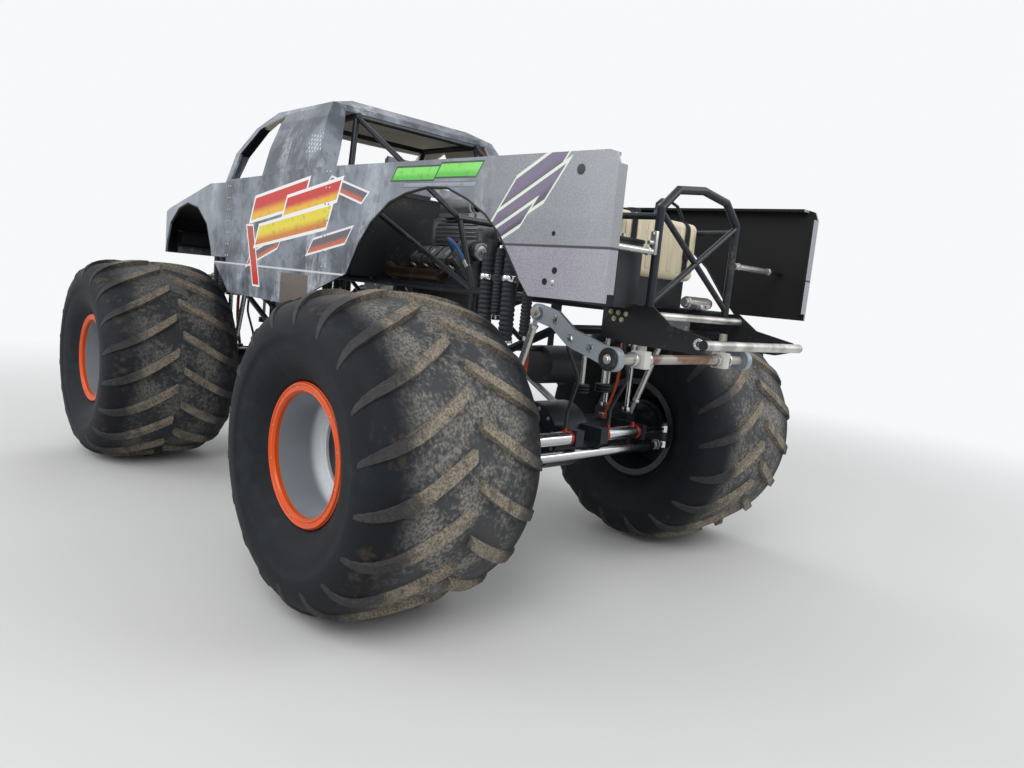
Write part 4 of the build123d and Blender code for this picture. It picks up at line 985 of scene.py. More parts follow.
def strut(sleeves, bright, sizes, x, y):
    """Adds one shock's ribbed sleeve, its rod with the foot, its clamp and its seal."""
    ribbed(sleeves, (x, y, 0), STRUT_LOW, STRUT_HIGH, sizes.sleeve_radius, sizes.sleeve_pitch, SLEEVE_GROOVE)
    rod(bright, (x, y, STRUT_FOOT), (x, y, STRUT_LOW - 0.008), ROD_RADIUS, 20)
    turned(bright, ROD_FOOT, (x, y, STRUT_FOOT - 0.002), UP, 20)
    collar(bright, *STRUT_CLAMP, (x, y, CLAMP_Z))
    turned(bright, SEAL_RING, (x, y, STRUT_LOW - 0.012), UP, 28)


def reservoir(sleeves, bright, x, y, low, high):
    """Adds one reservoir's ribbed sleeve, the cap at its foot and the plug on its head."""
    ribbed(sleeves, (x, y, 0), low + 0.03, high - 0.02, *RESERVOIR_SLEEVE)
    collar(bright, *RESERVOIR_CAP, (x, y, low - 0.008), UP, 24)
    hexes(bright, [(x, y, high + 0.004)], 0.011, 0.02, UP)


class TRUCK_OT_shocks(bpy.types.Operator):
    """Add ribbed sleeves, bright rods and clamps to the shocks"""
    bl_idname = "truck.shocks"
    bl_label = "Shocks"

    def execute(self, context):
        sizes = context.scene.truck_sizes
        sleeves, bright = bmesh.new(), bmesh.new()
        for _, x, way in ENDS:
            for _, side in SIDES:
                y = side * SHOCK_Y
                for along in STRUT_PLACES:
                    strut(sleeves, bright, sizes, x + way * along, y)
                for along, low, high in RESERVOIR_PLACES:
                    reservoir(sleeves, bright, x + way * along, y, low, high)
        finished("shock_sleeves", sleeves, "Sleeve Black", "chassis", 50)
        finished("shock_rods", bright, "Rod Chrome", "chassis", 40)
        return {"FINISHED"}


# Anti-roll bars

# The arm's holes, from the drop link to the tube: distance behind the axle, height over the axle line
SWAY_PLACES = ((0.408, 0.790), (0.546, 0.763), (0.666, 0.682), (0.801, 0.648), (0.944, 0.608))
ARM_FACE = 0.622
HUB_DISC = [(0, 0), (0.052, 0), (0.057, 0.004), (0.057, 0.012), (0.05, 0.017), (0.034, 0.017),
            (0.03, 0.012), (0, 0.012)]
HOLE_RIM = [(0.0175, 0), (0.0245, 0), (0.0245, 0.003), (0.0225, 0.005), (0.0175, 0.005), (0.0175, 0)]
# Drop link: its head's y, its foot's distance behind the axle and height over the axle line
LINK_HEAD_Y = 0.611
LINK_FOOT = (0.170, 0.110)
LINK_RADIUS = 0.021
# Shares of the drop link's line: ends of its tube, starts of its two nuts, length of a nut
LINK_SPAN = (0.12, 0.82)
LINK_NUTS = (0.1, 0.8)
LINK_NUT_SHARE = 0.025
# Bearing block of the tube: its two sides' y, half its width and height, and the collars beside it
BLOCK_SIDES = (0.352, 0.408)
BLOCK_HALF = 0.046
COLLAR_PLACES = (0.318, 0.438)
# Collars: inner radius, outer radius, height, easing
ROD_END_CAP = (0, 0.036, 0.018, (0.003, 0.004))
TUBE_COLLAR = (0.026, 0.038, 0.026, (0.002, 0.003))


def drop_link(bm, head, foot, out):
    """Adds a drop link's tube with its two nuts, and the bolted cap of its rod end on the arm."""
    face = Vector((head.x, out[1] * ARM_FACE, head.z))
    collar(bm, *ROD_END_CAP, face, out)
    hexes(bm, [face + 0.016 * Vector(out)], 0.013, 0.014, out)
    start, end = LINK_SPAN
    rod(bm, head.lerp(foot, start), head.lerp(foot, end), LINK_RADIUS, 20)
    for share in LINK_NUTS:
        rod(bm, head.lerp(foot, share), head.lerp(foot, share + LINK_NUT_SHARE), LINK_RADIUS + 0.005, 6)


class TRUCK_OT_sway(bpy.types.Operator):
    """Add hub discs, rod ends, drop links, collars and bearing blocks to the anti-roll bars"""
    bl_idname = "truck.sway"
    bl_label = "Anti-Roll Bars"

    def execute(self, context):
        dark, bright, white = bmesh.new(), bmesh.new(), bmesh.new()
        for _, x, _ in ENDS:
            hub_x, hub_z = x - SWAY_PLACES[-1][0], AXLE_Z + SWAY_PLACES[-1][1]
            for _, side in SIDES:
                out = (0, side, 0)
                turned(dark, HUB_DISC, (hub_x, side * (ARM_FACE + 0.014), hub_z), out, 36)
                hexes(bright, [(hub_x, side * (ARM_FACE + 0.026), hub_z)], 0.017, 0.016, out)
                for back, up in SWAY_PLACES[1:-1]:
                    turned(bright, HOLE_RIM, (x - back, side * ARM_FACE, AXLE_Z + up), out, 28)
                head = Vector((x - SWAY_PLACES[0][0], side * LINK_HEAD_Y, AXLE_Z + SWAY_PLACES[0][1]))
                foot = Vector((x - LINK_FOOT[0], side * SHOCK_Y, AXLE_Z + LINK_FOOT[1]))
                drop_link(bright, head, foot, out)
                for y in COLLAR_PLACES:
                    collar(bright, *TUBE_COLLAR, (hub_x, side * y, hub_z), out)
                near, far = BLOCK_SIDES
                crate(white, (hub_x - BLOCK_HALF, side * near, hub_z - BLOCK_HALF),
                      (hub_x + BLOCK_HALF, side * far, hub_z + BLOCK_HALF), 0.006)
        finished("sway_hub_discs", dark, "Plate Black", "chassis", 35)
        finished("sway_fittings", bright, "Bright Tube", "chassis", 35)
        finished("sway_blocks", white, "White Block", "chassis", 35)
        return {"FINISHED"}


# Axles and steering

RAM_BACK = 0.325
RAM_DROP = 0.053
STOP_BACK = 0.3265
STOP_Y = 0.1
STOP_FOOT = 1.17
STOP_HEAD = 1.53
STOP_NUT_Z = 1.5
STOP_DISC_HEIGHTS = (1.165, 1.183, 1.201)
# Disc of a bump stop: inner radius, outer radius, height, easing
STOP_DISC = (0.014, 0.049, 0.015, (0.005, 0.003))
KINGPIN_Y = 0.82
# Limit strap: its y, heights of its ends, how far its head stands off the axle and leans, its slack
STRAP_Y = 0.42
STRAP_HIGH = 1.452
STRAP_LOW = 0.948
STRAP_BACK = 0.172
STRAP_LEAN = 0.09
STRAP_SLACK = 0.04
STRAP_WIDTH = 0.028
# Ram barrel: y of its ends, its end caps and its ports, its radius
BARREL_SPAN = (0.152, 0.498)
BARREL_CAPS = (0.158, 0.472)
BARREL_PORTS = (0.2, 0.45)
BARREL_RADIUS = 0.0415
TIE_ROD_RADIUS = 0.033
# Bolt circles: y, radius, count, start
FLANGE_BOLTS = (0.7155, 0.085, 8, 0.0)
COVER_BOLTS = (0.15, 0.185, 12, 0.5)
PIN_CAP = [(0, 0), (0.022, 0), (0.022, 0.006), (0.012, 0.009), (0, 0.009)]
STOP_NUT = [(0.014, 0), (0.027, 0), (0.027, 0.02), (0.014, 0.02)]


def limit_strap(bm, x, way, side):
    """Adds one strap from the rail down to the axle, a little slack, with its two brackets."""
    line = []
    for step in range(9):
        share = step / 8
        slack = STRAP_SLACK * math.sin(math.pi * share)
        height = STRAP_HIGH + (STRAP_LOW - STRAP_HIGH) * share
        line.append((x - way * (STRAP_BACK - STRAP_LEAN * share + slack), side * STRAP_Y, height))
    band(bm, line, (0, side * STRAP_WIDTH, 0), 0.005)
    (top_x, _, top_z), (foot_x, _, foot_z) = line[0], line[-1]
    near, far = side * (STRAP_Y - 0.01), side * (STRAP_Y + 0.036)
    crate(bm, (top_x - 0.016, near, top_z - 0.03), (top_x + 0.016, far, top_z + 0.01), 0.004, 1)
    near = side * (STRAP_Y - 0.008)
    crate(bm, (foot_x - 0.02, near, foot_z - 0.012), (foot_x + 0.02, far, foot_z + 0.026), 0.004, 1)


def bump_stop(bm, x, y):
    """Adds a stop rod with three rubber discs over the axle and a nut under the rail."""
    rod(bm, (x, y, STOP_FOOT), (x, y, STOP_HEAD), 0.015, 18)
    for z in STOP_DISC_HEIGHTS:
        collar(bm, *STOP_DISC, (x, y, z), UP, 28, 1)
    turned(bm, STOP_NUT, (x, y, STOP_NUT_Z), UP, 20)


def ram_cylinder(bm, x, z, side):
    """Adds a bright barrel with its two red end caps and the hose fittings on top."""
    near, far = BARREL_SPAN
    rod(bm, (x, side * near, z), (x, side * far, z), BARREL_RADIUS, 28)
    for y in BARREL_CAPS:
        rod(bm, (x, side * y, z), (x, side * (y + 0.02), z), BARREL_RADIUS + 0.003, 28, 1)
    hexes(bm, [(x, side * y, z + 0.04) for y in BARREL_PORTS], 0.013, 0.024, UP, 1)


def tie_rod_sleeve(x, z):
    """The bright sleeve of a tie rod with its lock nuts."""
    bm = bmesh.new()
    rod(bm, (x, -0.68, z), (x, 0.68, z), TIE_ROD_RADIUS, 28, 1)
    for side in (1, -1):
        rod(bm, (x, side * 0.735, z), (x, side * 0.762, z), TIE_ROD_RADIUS + 0.003, 6)
        rod(bm, (x, side * 0.7, z), (x, side * 0.722, z), TIE_ROD_RADIUS, 20)
    return bm


class TRUCK_OT_axle_trim(bpy.types.Operator):
    """Add straps, bump stops, cover bolts, ram fittings and nuts to the axles and the steering"""
    bl_idname = "truck.axle_trim"
    bl_label = "Axles and Steering"

    def execute(self, context):
        straps, stops, bolts, rams = bmesh.new(), bmesh.new(), bmesh.new(), bmesh.new()
        for end, x, way in ENDS:
            ram_x = x - way * RAM_BACK
            sleeve = tie_rod_sleeve(ram_x, AXLE_Z - RAM_DROP)
            finished(f"tie_rod_sleeve_{end}", sleeve, ["Rod Steel", "Rod Chrome"], f"tie_rod_{end}")
            for name, side in SIDES:
                out = (0, side, 0)
                limit_strap(straps, x, way, side)
                bump_stop(stops, x - way * STOP_BACK, side * STOP_Y)
                ram_cylinder(rams, ram_x, AXLE_Z + RAM_DROP, side)
                y, *circle = FLANGE_BOLTS
                hexes(bolts, circle_spots((x, side * y, AXLE_Z), *circle), 0.008, 0.01, (0, -side, 0))
                y, *circle = COVER_BOLTS
                hexes(bolts, circle_spots((x, side * y, AXLE_Z), *circle), 0.009, 0.012, out)
                pin = bmesh.new()
                for up in (1, -1):
                    turned(pin, PIN_CAP, (x, side * KINGPIN_Y, AXLE_Z + up * 0.175), (0, 0, up), 20)
                hexes(pin, [(ram_x, side * KINGPIN_Y, AXLE_Z + 0.078)], 0.014, 0.012, UP)
                finished(f"kingpin_caps_{end}_{name}", pin, "Rod Steel", f"knuckle_{end}_{name}")
        finished("limit_straps", straps, ["Strap Orange", "Rod Steel"], "chassis", 35)
        finished("bump_stops", stops, ["Bright Tube", "Hose Rubber"], "chassis", 35)
        finished("axle_bolts", bolts, "Rod Steel", "chassis", 35)
        finished("ram_cylinders", rams, ["Rod Chrome", "Fitting Red"], "chassis", 35)
        return {"FINISHED"}


# Fuel tank

TANK_LOW = Vector((-2.27, -0.37, 1.88))
TANK_HIGH = Vector((-1.83, 0.37, 2.215))
RIB_LOW = 1.925
RIB_HIGH = 2.17
RIB_PROUD = 0.006
# Ribs of the wide and of the narrow sides: first place, pitch, count, half width
WIDE_RIBS = (-0.3, 0.1, 7, 0.02)
NARROW_RIBS = (-2.18, 0.087, 4, 0.018)
RIB_BEVEL = 0.0045
STRAP_PLACES = (-0.27, 0.23)
TANK_STRAP = 0.04
FILLER = [(0, 0), (0.05, 0), (0.05, 0.012), (0.042, 0.014), (0.042, 0.036), (0.038, 0.04), (0, 0.04)]
# Fittings on the tank's top: x, y, finish slot
TANK_FITTINGS = ((-2.17, -0.06, 1), (-2.17, -0.14, 2), (-1.95, 0.12, 2), (-1.95, -0.02, 1))
# The vent hose and the supply hose, each from a top fitting to a side fitting
TANK_HOSES = (
    ((-2.17, -0.06, 2.258), (-2.17, -0.065, 2.30), (-2.165, -0.11, 2.328), (-2.155, -0.2, 2.335),
     (-2.145, -0.3, 2.315), (-2.138, -0.37, 2.26), (-2.137, -0.415, 2.17), (-2.137, -0.42, 2.09),
     (-2.137, -0.405, 2.045), (-2.137, -0.378, 2.03)),
    ((-1.95, 0.12, 2.258), (-1.95, 0.122, 2.30), (-1.925, 0.13, 2.325), (-1.87, 0.14, 2.322),
     (-1.81, 0.147, 2.27), (-1.782, 0.15, 2.18), (-1.78, 0.15, 2.08), (-1.795, 0.15, 2.025),
     (-1.822, 0.15, 2.005)),
)


def rounded_loop(low_x, high_x, low_z, high_z, y, bend):
    """Points of a closed rounded rectangle in XZ."""
    corners = ((high_x - bend, high_z - bend, 0), (low_x + bend, high_z - bend, 90),
               (low_x + bend, low_z + bend, 180), (high_x - bend, low_z + bend, 270))
    points = []
    for x, z, start in corners:
        for step in range(7):
            angle = math.radians(start + 15 * step)
            points.append((x + bend * math.cos(angle), y, z + bend * math.sin(angle)))
    return points + points[:1]


def tank_ribs():
    """The moulded ribs on the tank's four sides."""
    bm = bmesh.new()
    start, pitch, count, half = WIDE_RIBS
    for step in range(count):
        y = start + pitch * step
        for x in (TANK_LOW.x, TANK_HIGH.x):
            crate(bm, (x - RIB_PROUD, y - half, RIB_LOW), (x + RIB_PROUD, y + half, RIB_HIGH), RIB_BEVEL)
    start, pitch, count, half = NARROW_RIBS
    for step in range(count):
        x = start + pitch * step
        for y in (TANK_LOW.y, TANK_HIGH.y):
            crate(bm, (x - half, y - RIB_PROUD, RIB_LOW), (x + half, y + RIB_PROUD, RIB_HIGH), RIB_BEVEL)
    return bm


class TRUCK_OT_tank(bpy.types.Operator):
    """Add ribs, straps, the filler and hose fittings to the fuel tank"""
    bl_idname = "truck.tank"
    bl_label = "Fuel Tank"

    def execute(self, context):
        straps, fittings = bmesh.new(), bmesh.new()
        for y in STRAP_PLACES:
            loop = rounded_loop(TANK_LOW.x - 0.008, TANK_HIGH.x + 0.008, TANK_LOW.z - 0.002,
                                TANK_HIGH.z + 0.002, y, 0.046)
            band(straps, loop, (0, TANK_STRAP, 0), 0.003)
            crate(straps, (-2.285, y - 0.004, 2.0), (-2.272, y + TANK_STRAP + 0.004, 2.05), 0.003)
        top = TANK_HIGH.z - 0.001
        turned(fittings, FILLER, (-2.12, 0.08, top), UP, 32)
        for x, y, slot in TANK_FITTINGS:
            hexes(fittings, [(x, y, top)], 0.014, 0.018, UP, slot)
            rod(fittings, (x, y, top + 0.016), (x, y, top + 0.048), 0.01, 16, slot)
        hexes(fittings, [(-2.137, TANK_LOW.y, 2.03)], 0.014, 0.018, (0, -1, 0), 1)
        hexes(fittings, [(TANK_HIGH.x, 0.15, 2.005)], 0.014, 0.018, (1, 0, 0), 2)
        for line in TANK_HOSES:
            sweep(fittings, line, 0.009, 12, 3)
        finished("tank_ribs", tank_ribs(), "Tank Cream", "chassis", 40)
        finished("tank_straps", straps, "Strap Black", "chassis", 40)
        names = ["Plate Black", "Fitting Blue", "Fitting Red", "Hose Rubber"]
        finished("tank_fittings", fittings, names, "chassis", 40)
        return {"FINISHED"}


# Frame ends

PLATE_Y = 0.417
PLATE_BOLTS = ((-2.316, 1.674), (-2.341, 1.639), (-2.366, 1.672), (-2.391, 1.637), (-2.416, 1.668))
TOW_Z = 1.566
EYE_X = -2.865
EYE_RIM = [(0.0145, 0), (0.028, 0), (0.028, 0.004), (0.025, 0.007), (0.0145, 0.007), (0.0145, 0)]
BAR_END_X = -2.926
BAR_CAP = [(0, 0), (0.022, 0), (0.0238, 0.003), (0.0238, 0.01), (0, 0.01)]
LATCH_X = -2.515
LATCH_Z = 1.99
PUMP_X = -2.32
PUMP_Z = 1.7605
TERMINAL = [(0, 0), (0.013, 0), (0.011, 0.02), (0, 0.02)]
# Boxes: low corner, high corner, bevel
PUMP_SADDLE = ((PUMP_X - 0.04, -0.41, 1.722), (PUMP_X + 0.04, -0.35, 1.75), 0.004)
BATTERY_LID = ((-2.446, 0.364, 2.03), (-2.254, 0.566, 2.05), 0.005)
BATTERY_BAND = ((-2.4, 0.36, 1.9), (-2.3, 0.57, 1.93), 0.004)


def hoop_latch(bm):
    """Adds the bright stays between the hoop and the bedsides, and the latch with its knob."""
    for _, side in SIDES:
        rod(bm, (LATCH_X, side * 0.4, LATCH_Z), (LATCH_X, side * 0.8, LATCH_Z), 0.0165, 18)
        for y in (0.42, 0.78):
            rod(bm, (LATCH_X, side * y, LATCH_Z), (LATCH_X, side * (y + 0.02), LATCH_Z), 0.022, 6)
    crate(bm, (LATCH_X - 0.019, 0.376, LATCH_Z - 0.015), (LATCH_X + 0.019, 0.398, LATCH_Z + 0.105), 0.004)
    hexes(bm, [(LATCH_X, 0.398, z) for z in (LATCH_Z, LATCH_Z + 0.09)], 0.009, 0.008, (0, 1, 0))
    rod(bm, (LATCH_X, 0.397, LATCH_Z + 0.045), (LATCH_X, 0.43, LATCH_Z + 0.045), 0.011, 16)


class TRUCK_OT_frame_trim(bpy.types.Operator):
    """Add plate bolts, tow eyes, the hoop latch, the pump and the battery lid"""
    bl_idname = "truck.frame_trim"
    bl_label = "Frame Ends"

    def execute(self, context):
        bolts, bright, dark, pump = bmesh.new(), bmesh.new(), bmesh.new(), bmesh.new()
        bolt = context.scene.truck_sizes.bolt_radius
        for _, side in SIDES:
            out = (0, side, 0)
            for way in (1, -1):
                hexes(bolts, [(way * x, side * PLATE_Y, z) for x, z in PLATE_BOLTS], bolt, 0.012, out)
                turned(bright, EYE_RIM, (way * EYE_X, side * PLATE_Y, TOW_Z), out, 28)
                turned(dark, BAR_CAP, (way * BAR_END_X, side * 0.464, TOW_Z), out, 24)
        hoop_latch(bright)
        rod(bright, (PUMP_X, -0.46, PUMP_Z), (PUMP_X, -0.25, PUMP_Z), 0.0355, 28)
        rod(bright, (PUMP_X, -0.25, PUMP_Z), (PUMP_X, -0.225, PUMP_Z), 0.028, 6)
        crate(bright, *PUMP_SADDLE)
        rod(pump, (PUMP_X, -0.486, PUMP_Z), (PUMP_X, -0.46, PUMP_Z), 0.03, 24)
        crate(dark, *BATTERY_LID)
        crate(dark, *BATTERY_BAND)
        for x in (-2.41, -2.29):
            turned(bright, TERMINAL, (x, 0.5, 2.048), UP, 16)
        finished("plate_bolts", bolts, "Bolt Cream", "chassis", 30)
        finished("frame_fittings", bright, "Bright Tube", "chassis", 35)
        finished("frame_caps", dark, "Control Black", "chassis", 35)
        finished("pump_end", pump, "Fitting Red", "chassis", 35)
        return {"FINISHED"}


# Engine

ENGINE_X = -0.62
CRANK_Z = 1.65
BANK_LEAN = math.sqrt(0.5)
# Pulleys: y, z, radius
PULLEYS = ((0.0, 1.65, 0.085), (0.0, 2.09, 0.062), (-0.15, 1.85, 0.05), (0.19, 1.96, 0.058))
PULLEY_X = -0.98
FIN = [(0.07, 0), (0.0755, 0), (0.0755, 0.008), (0.07, 0.008)]
STACK_RIM = [(0.042, 0), (0.047, 0), (0.047, 0.01), (0.042, 0.01), (0.042, 0)]
STACK_FLAP = [(0, 0), (0.041, 0), (0.041, 0.003), (0, 0.003)]
BLOWER_HALF = 0.262
BLOWER_BOLTS = (1.985, 2.04, 2.12, 2.175)
STACK_PLACES = (-0.1, 0, 0.1)
STACK_Z = 2.275
# Fins of the alternator: place of the first, pitch, count
FIN_START = Vector((-0.905, 0.19, 1.96))
FIN_PITCH = 0.02
FIN_COUNT = 6
# Exhaust flange: inner radius, outer radius, height, easing
FLANGE = (0.02, 0.038, 0.014, (0.002, 0.003))
# Nuts of the two hose ends on the engine: place, direction
HOSE_NUTS = (((-0.835, 0.29, 1.925), (-0.34, 0.95, 0.8)), ((-1.1, 0.394, 1.85), (0.58, 0.22, 0.8)))


def bank_spot(x, side, rise, across):
    """A place on a cylinder bank, from its distance up the bank and across it."""
    return Vector((x, side * BANK_LEAN * (rise + across), CRANK_Z + BANK_LEAN * (rise - across)))


def pulley(bm, y, z, radius):
    """Adds a dished pulley face with its bolt."""
    profile = [(0, 0), (0.3 * radius, 0), (0.34 * radius, 0.008), (0.7 * radius, 0.004),
               (0.78 * radius, 0.01), (radius, 0.01), (radius + 0.002, 0), (radius + 0.002, -0.008),
               (radius - 0.006, -0.008)]
    turned(bm, profile, (PULLEY_X, y, z), (-1, 0, 0), 32)
    hexes(bm, [(PULLEY_X - 0.006, y, z)], 0.2 * radius + 0.004, 0.012, (-1, 0, 0))


def head_cover(bright, dark, side):
    """Adds the bolts, the ribs and the breather of one cylinder bank's cover."""
    for count in range(5):
        x = ENGINE_X - 0.22 + 0.11 * count
        spots = [bank_spot(x, side, 0.409, across) for across in (-0.045, 0.045)]
        hexes(bright, spots, 0.008, 0.008, (0, side * BANK_LEAN, BANK_LEAN))
    for count in range(6):
        x = ENGINE_X - 0.205 + 0.082 * count
        rod(bright, bank_spot(x, side, 0.41, -0.028), bank_spot(x, side, 0.41, 0.028), 0.006, 10)
    x = ENGINE_X + 0.16
    rod(dark, bank_spot(x, side, 0.41, 0), bank_spot(x, side, 0.47, 0), 0.026, 24)
    rod(dark, bank_spot(x, side, 0.465, 0), bank_spot(x, side, 0.485, 0), 0.032, 24)


def cylinder_side(bright, leads, x, side):
    """Adds one cylinder's exhaust flange and its plug with the lead over the cover."""
    out = Vector((0, side * BANK_LEAN, -BANK_LEAN))
    collar(bright, *FLANGE, (x + 0.022, side * 0.296, 1.832), out, 24)
    start = bank_spot(x + 0.05, side, 0.3, 0.086)
    rod(bright, start, start + 0.03 * out, 0.011, 12)
    route = [start + 0.025 * out, start + 0.07 * out + Vector((0, 0, 0.03)),
             bank_spot(x + 0.02, side, 0.36, 0.12), bank_spot(x, side, 0.43, 0.09),
             bank_spot(x - 0.02, side, 0.44, -0.02), bank_spot(x - 0.03, side, 0.4, -0.09)]
    sweep(leads, route, 0.0055, 8)


def blower_ribs(bm, side):
    """Adds the ribs along one side of the blower, and the bolts of one of its end plates."""
    for count in range(7):
        z = 2.0 + 0.028 * count
        crate(bm, (ENGINE_X - 0.22, side * 0.131, z), (ENGINE_X + 0.22, side * 0.141, z + 0.009), 0.002)
    bolt_rows = [(ENGINE_X + side * BLOWER_HALF, y, z) for y in (-0.125, 0.125) for z in BLOWER_BOLTS]
    hexes(bm, bolt_rows, 0.008, 0.009, (side, 0, 0))


class TRUCK_OT_engine_trim(bpy.types.Operator):
    """Add pulley faces, alternator fins, cover bolts, plug leads, flanges and blower ribs to the engine"""
    bl_idname = "truck.engine_trim"
    bl_label = "Engine"

    def execute(self, context):
        bright, dark, leads = bmesh.new(), bmesh.new(), bmesh.new()
        for row in PULLEYS:
            pulley(bright, *row)
        for count in range(FIN_COUNT):
            turned(bright, FIN, FIN_START + Vector((FIN_PITCH * count, 0, 0)), (1, 0, 0), 32)
        for side in (1, -1):
            head_cover(bright, dark, side)
            for count in range(4):
                cylinder_side(bright, leads, ENGINE_X - 0.21 + 0.14 * count, side)
            blower_ribs(bright, side)
        for y in STACK_PLACES:
            turned(bright, STACK_RIM, (ENGINE_X - 0.16, y, STACK_Z), (-1, 0, 0), 28)
            turned(dark, STACK_FLAP, (ENGINE_X - 0.14, y, STACK_Z), (-0.5, 0, 0.86), 24)
        for start, aim in HOSE_NUTS:
            rod(bright, start, Vector(start) + 0.05 * Vector(aim).normalized(), 0.021, 6)
        finished("engine_fittings", bright, "Blower Alloy", "chassis", 35)
        finished("engine_caps", dark, "Control Black", "chassis", 35)
        finished("plug_leads", leads, "Hose Rubber", "chassis", 50)
        return {"FINISHED"}


# Body trim

# Edges of the wheel arches: distance from the axle, height over the arch's foot
ARCH_Z = 1.716
REAR_ARCH = ((-0.579, 0.084), (-0.416, 0.288), (-0.296, 0.385), (-0.141, 0.465), (0.036, 0.528),
             (0.216, 0.536), (0.415, 0.508), (0.578, 0.459), (0.762, 0.342), (0.886, 0.209))
FRONT_ARCH = ((-0.420, 0.1), (-0.305, 0.317), (-0.1, 0.454), (0.135, 0.496), (0.344, 0.454),
              (0.549, 0.317))
# Rows of fasteners beside the panel joints: x, low z, high z, count
SEAMS = ((-0.27, 1.76, 2.38, 7), (1.29, 1.78, 2.33, 7))
BUTTON = [(0.009, 0), (0.0085, 0.0015), (0.005, 0.003), (0, 0.0032)]
# Fasteners and small holes of the bedsides: x, z, radius, finish slot
BED_SPOTS = ((-2.388, 1.786, 0.014, 0), (-2.393, 1.843, 0.016, 1), (-2.335, 1.789, 0.016, 1),
             (-2.363, 2.013, 0.011, 1), (-2.493, 2.299, 0.024, 2))
NOSE_X = 2.85
FASCIA_Z = 1.905
# Lamp lens: its y, half its width, half its height
LAMP_Y = 0.64
LAMP_WIDE = 0.14
LAMP_TALL = 0.046
# Bars of the grille screen: first place, pitch, count, half width, half height
SCREEN_BARS = (-0.435, 0.03, 30, 0.002, 0.064)


class TRUCK_OT_body_trim(bpy.types.Operator):
    """Add arch beading, fasteners, lamp lenses and the grille screen to the body"""
    bl_idname = "truck.body_trim"
    bl_label = "Body Trim"

    def execute(self, context):
        edges, buttons, lamps, screen = bmesh.new(), bmesh.new(), bmesh.new(), bmesh.new()
        for _, side in SIDES:
            y = side * (BODY_Y - 0.0075)
            out = (0, side, 0)
            for middle, arch in ((REAR_X, REAR_ARCH), (FRONT_X, FRONT_ARCH)):
                sweep(edges, [(middle + x, y, ARCH_Z + z) for x, z in arch], 0.0095, 8)
            for x, low, high, count in SEAMS:
                for step in range(count):
                    z = low + (high - low) * step / (count - 1)
                    for shift in (-0.022, 0.022):
                        turned(buttons, BUTTON, (x + shift, side * BODY_Y, z), out, 14)
            for x, z, radius, slot in BED_SPOTS:
                turned(buttons, [(radius, 0), (radius, 0.0018), (0.5 * radius, 0.003), (0, 0.003)],
                       (x, side * BODY_Y, z), out, 20, slot)
            lamp_y = side * LAMP_Y
            crate(lamps, (NOSE_X - 0.013, lamp_y - LAMP_WIDE, FASCIA_Z - LAMP_TALL),
                  (NOSE_X - 0.004, lamp_y + LAMP_WIDE, FASCIA_Z + LAMP_TALL), 0.003)
        start, pitch, count, wide, tall = SCREEN_BARS
        for step in range(count):
            y = start + pitch * step
            crate(screen, (NOSE_X - 0.036, y - wide, FASCIA_Z - tall),
                  (NOSE_X - 0.032, y + wide, FASCIA_Z + tall), 0)
        finished("arch_edges", edges, "Plate Black", "chassis", 60)
        finished("body_buttons", buttons, ["Rod Steel", "Strap Black", "Hub Grey"], "chassis", 50)
        finished("lamp_lenses", lamps, "Lamp Lens", "chassis", 40)
        finished("grille_screen", screen, "Control Black", "chassis", 40)
        return {"FINISHED"}


# Seat and steering wheel

SEAT_LOW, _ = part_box("seat")
# Foot of the shell's back, from which the seat's sizes count
SEAT_X = SEAT_LOW.x + 0.08
# Cushions: name, low corner, high corner, lean
CUSHIONS = (
    ("seat_base", (0.09, -0.19, 1.988), (0.49, 0.19, 2.062), 0.0),
    ("seat_back", (0.05, -0.18, 2.06), (0.13, 0.18, 2.5), -0.12),
    ("seat_head", (0.005, -0.11, 2.52), (0.07, 0.11, 2.63), -0.12),
)
# Line of the shell's back: x, z
SHELL_BACK = ((0.02, 2.0), (0.05, 2.2), (-0.03, 2.64))
# Middle line of a shoulder belt
BELT = ((0.1, 0.1, 2.51), (0.16, 0.095, 2.45), (0.185, 0.09, 2.3), (0.2, 0.07, 2.15), (0.25, 0.04, 2.1))
BUCKLE = [(0, 0), (0.032, 0), (0.036, 0.006), (0.03, 0.018), (0, 0.018)]
GRIP_CENTRE = Vector((0.79, 0, 2.33))
GRIP_AIM = Vector((-0.22, 0, 0.08)).normalized()
GRIP_HUB = [(0, 0), (0.04, 0), (0.036, 0.02), (0.02, 0.026), (0, 0.026)]
GAUGE_PLACES = (-0.3, -0.15, 0.15, 0.3)
DASH_X = 0.999
DASH_Z = 2.26
GAUGE = [(0, 0.004), (0.022, 0.004), (0.0235, 0.0), (0.026, 0.0), (0.027, 0.01), (0.025, 0.016),
         (0.0235, 0.016), (0.022, 0.008), (0, 0.008)]


def cushion(name, low, high, lean):
    """Makes a soft padded cushion: a leaning box, rounded and swollen in the middle."""
    bm = bmesh.new()
    bmesh.ops.create_cube(bm, size=1)
    bmesh.ops.subdivide_edges(bm, edges=bm.edges, cuts=5, use_grid_fill=True)
    size, middle = high - low, (low + high) / 2
    for vert in bm.verts:
        u, v, w = 2 * vert.co
        puff = 1 + 0.1 * (1 - u * u) * (1 - v * v) + 0.02 * math.cos(9 * w) * (1 - abs(u))
        side = v * size.y / 2 * (1 - 0.04 * w * w)
        vert.co = Vector((u * size.x / 2 * puff, side, w * size.z / 2 * puff))
    bmesh.ops.rotate(bm, verts=bm.verts, cent=(0, 0, 0), matrix=Matrix.Rotation(lean, 3, "Y"))
    bmesh.ops.translate(bm, verts=bm.verts, vec=middle)
    piece = finished(name, bm, "Seat Cloth", "chassis", 180)
    soft = piece.modifiers.new("Soft", "SUBSURF")
    soft.levels = 2
    soft.render_levels = 2
    return piece


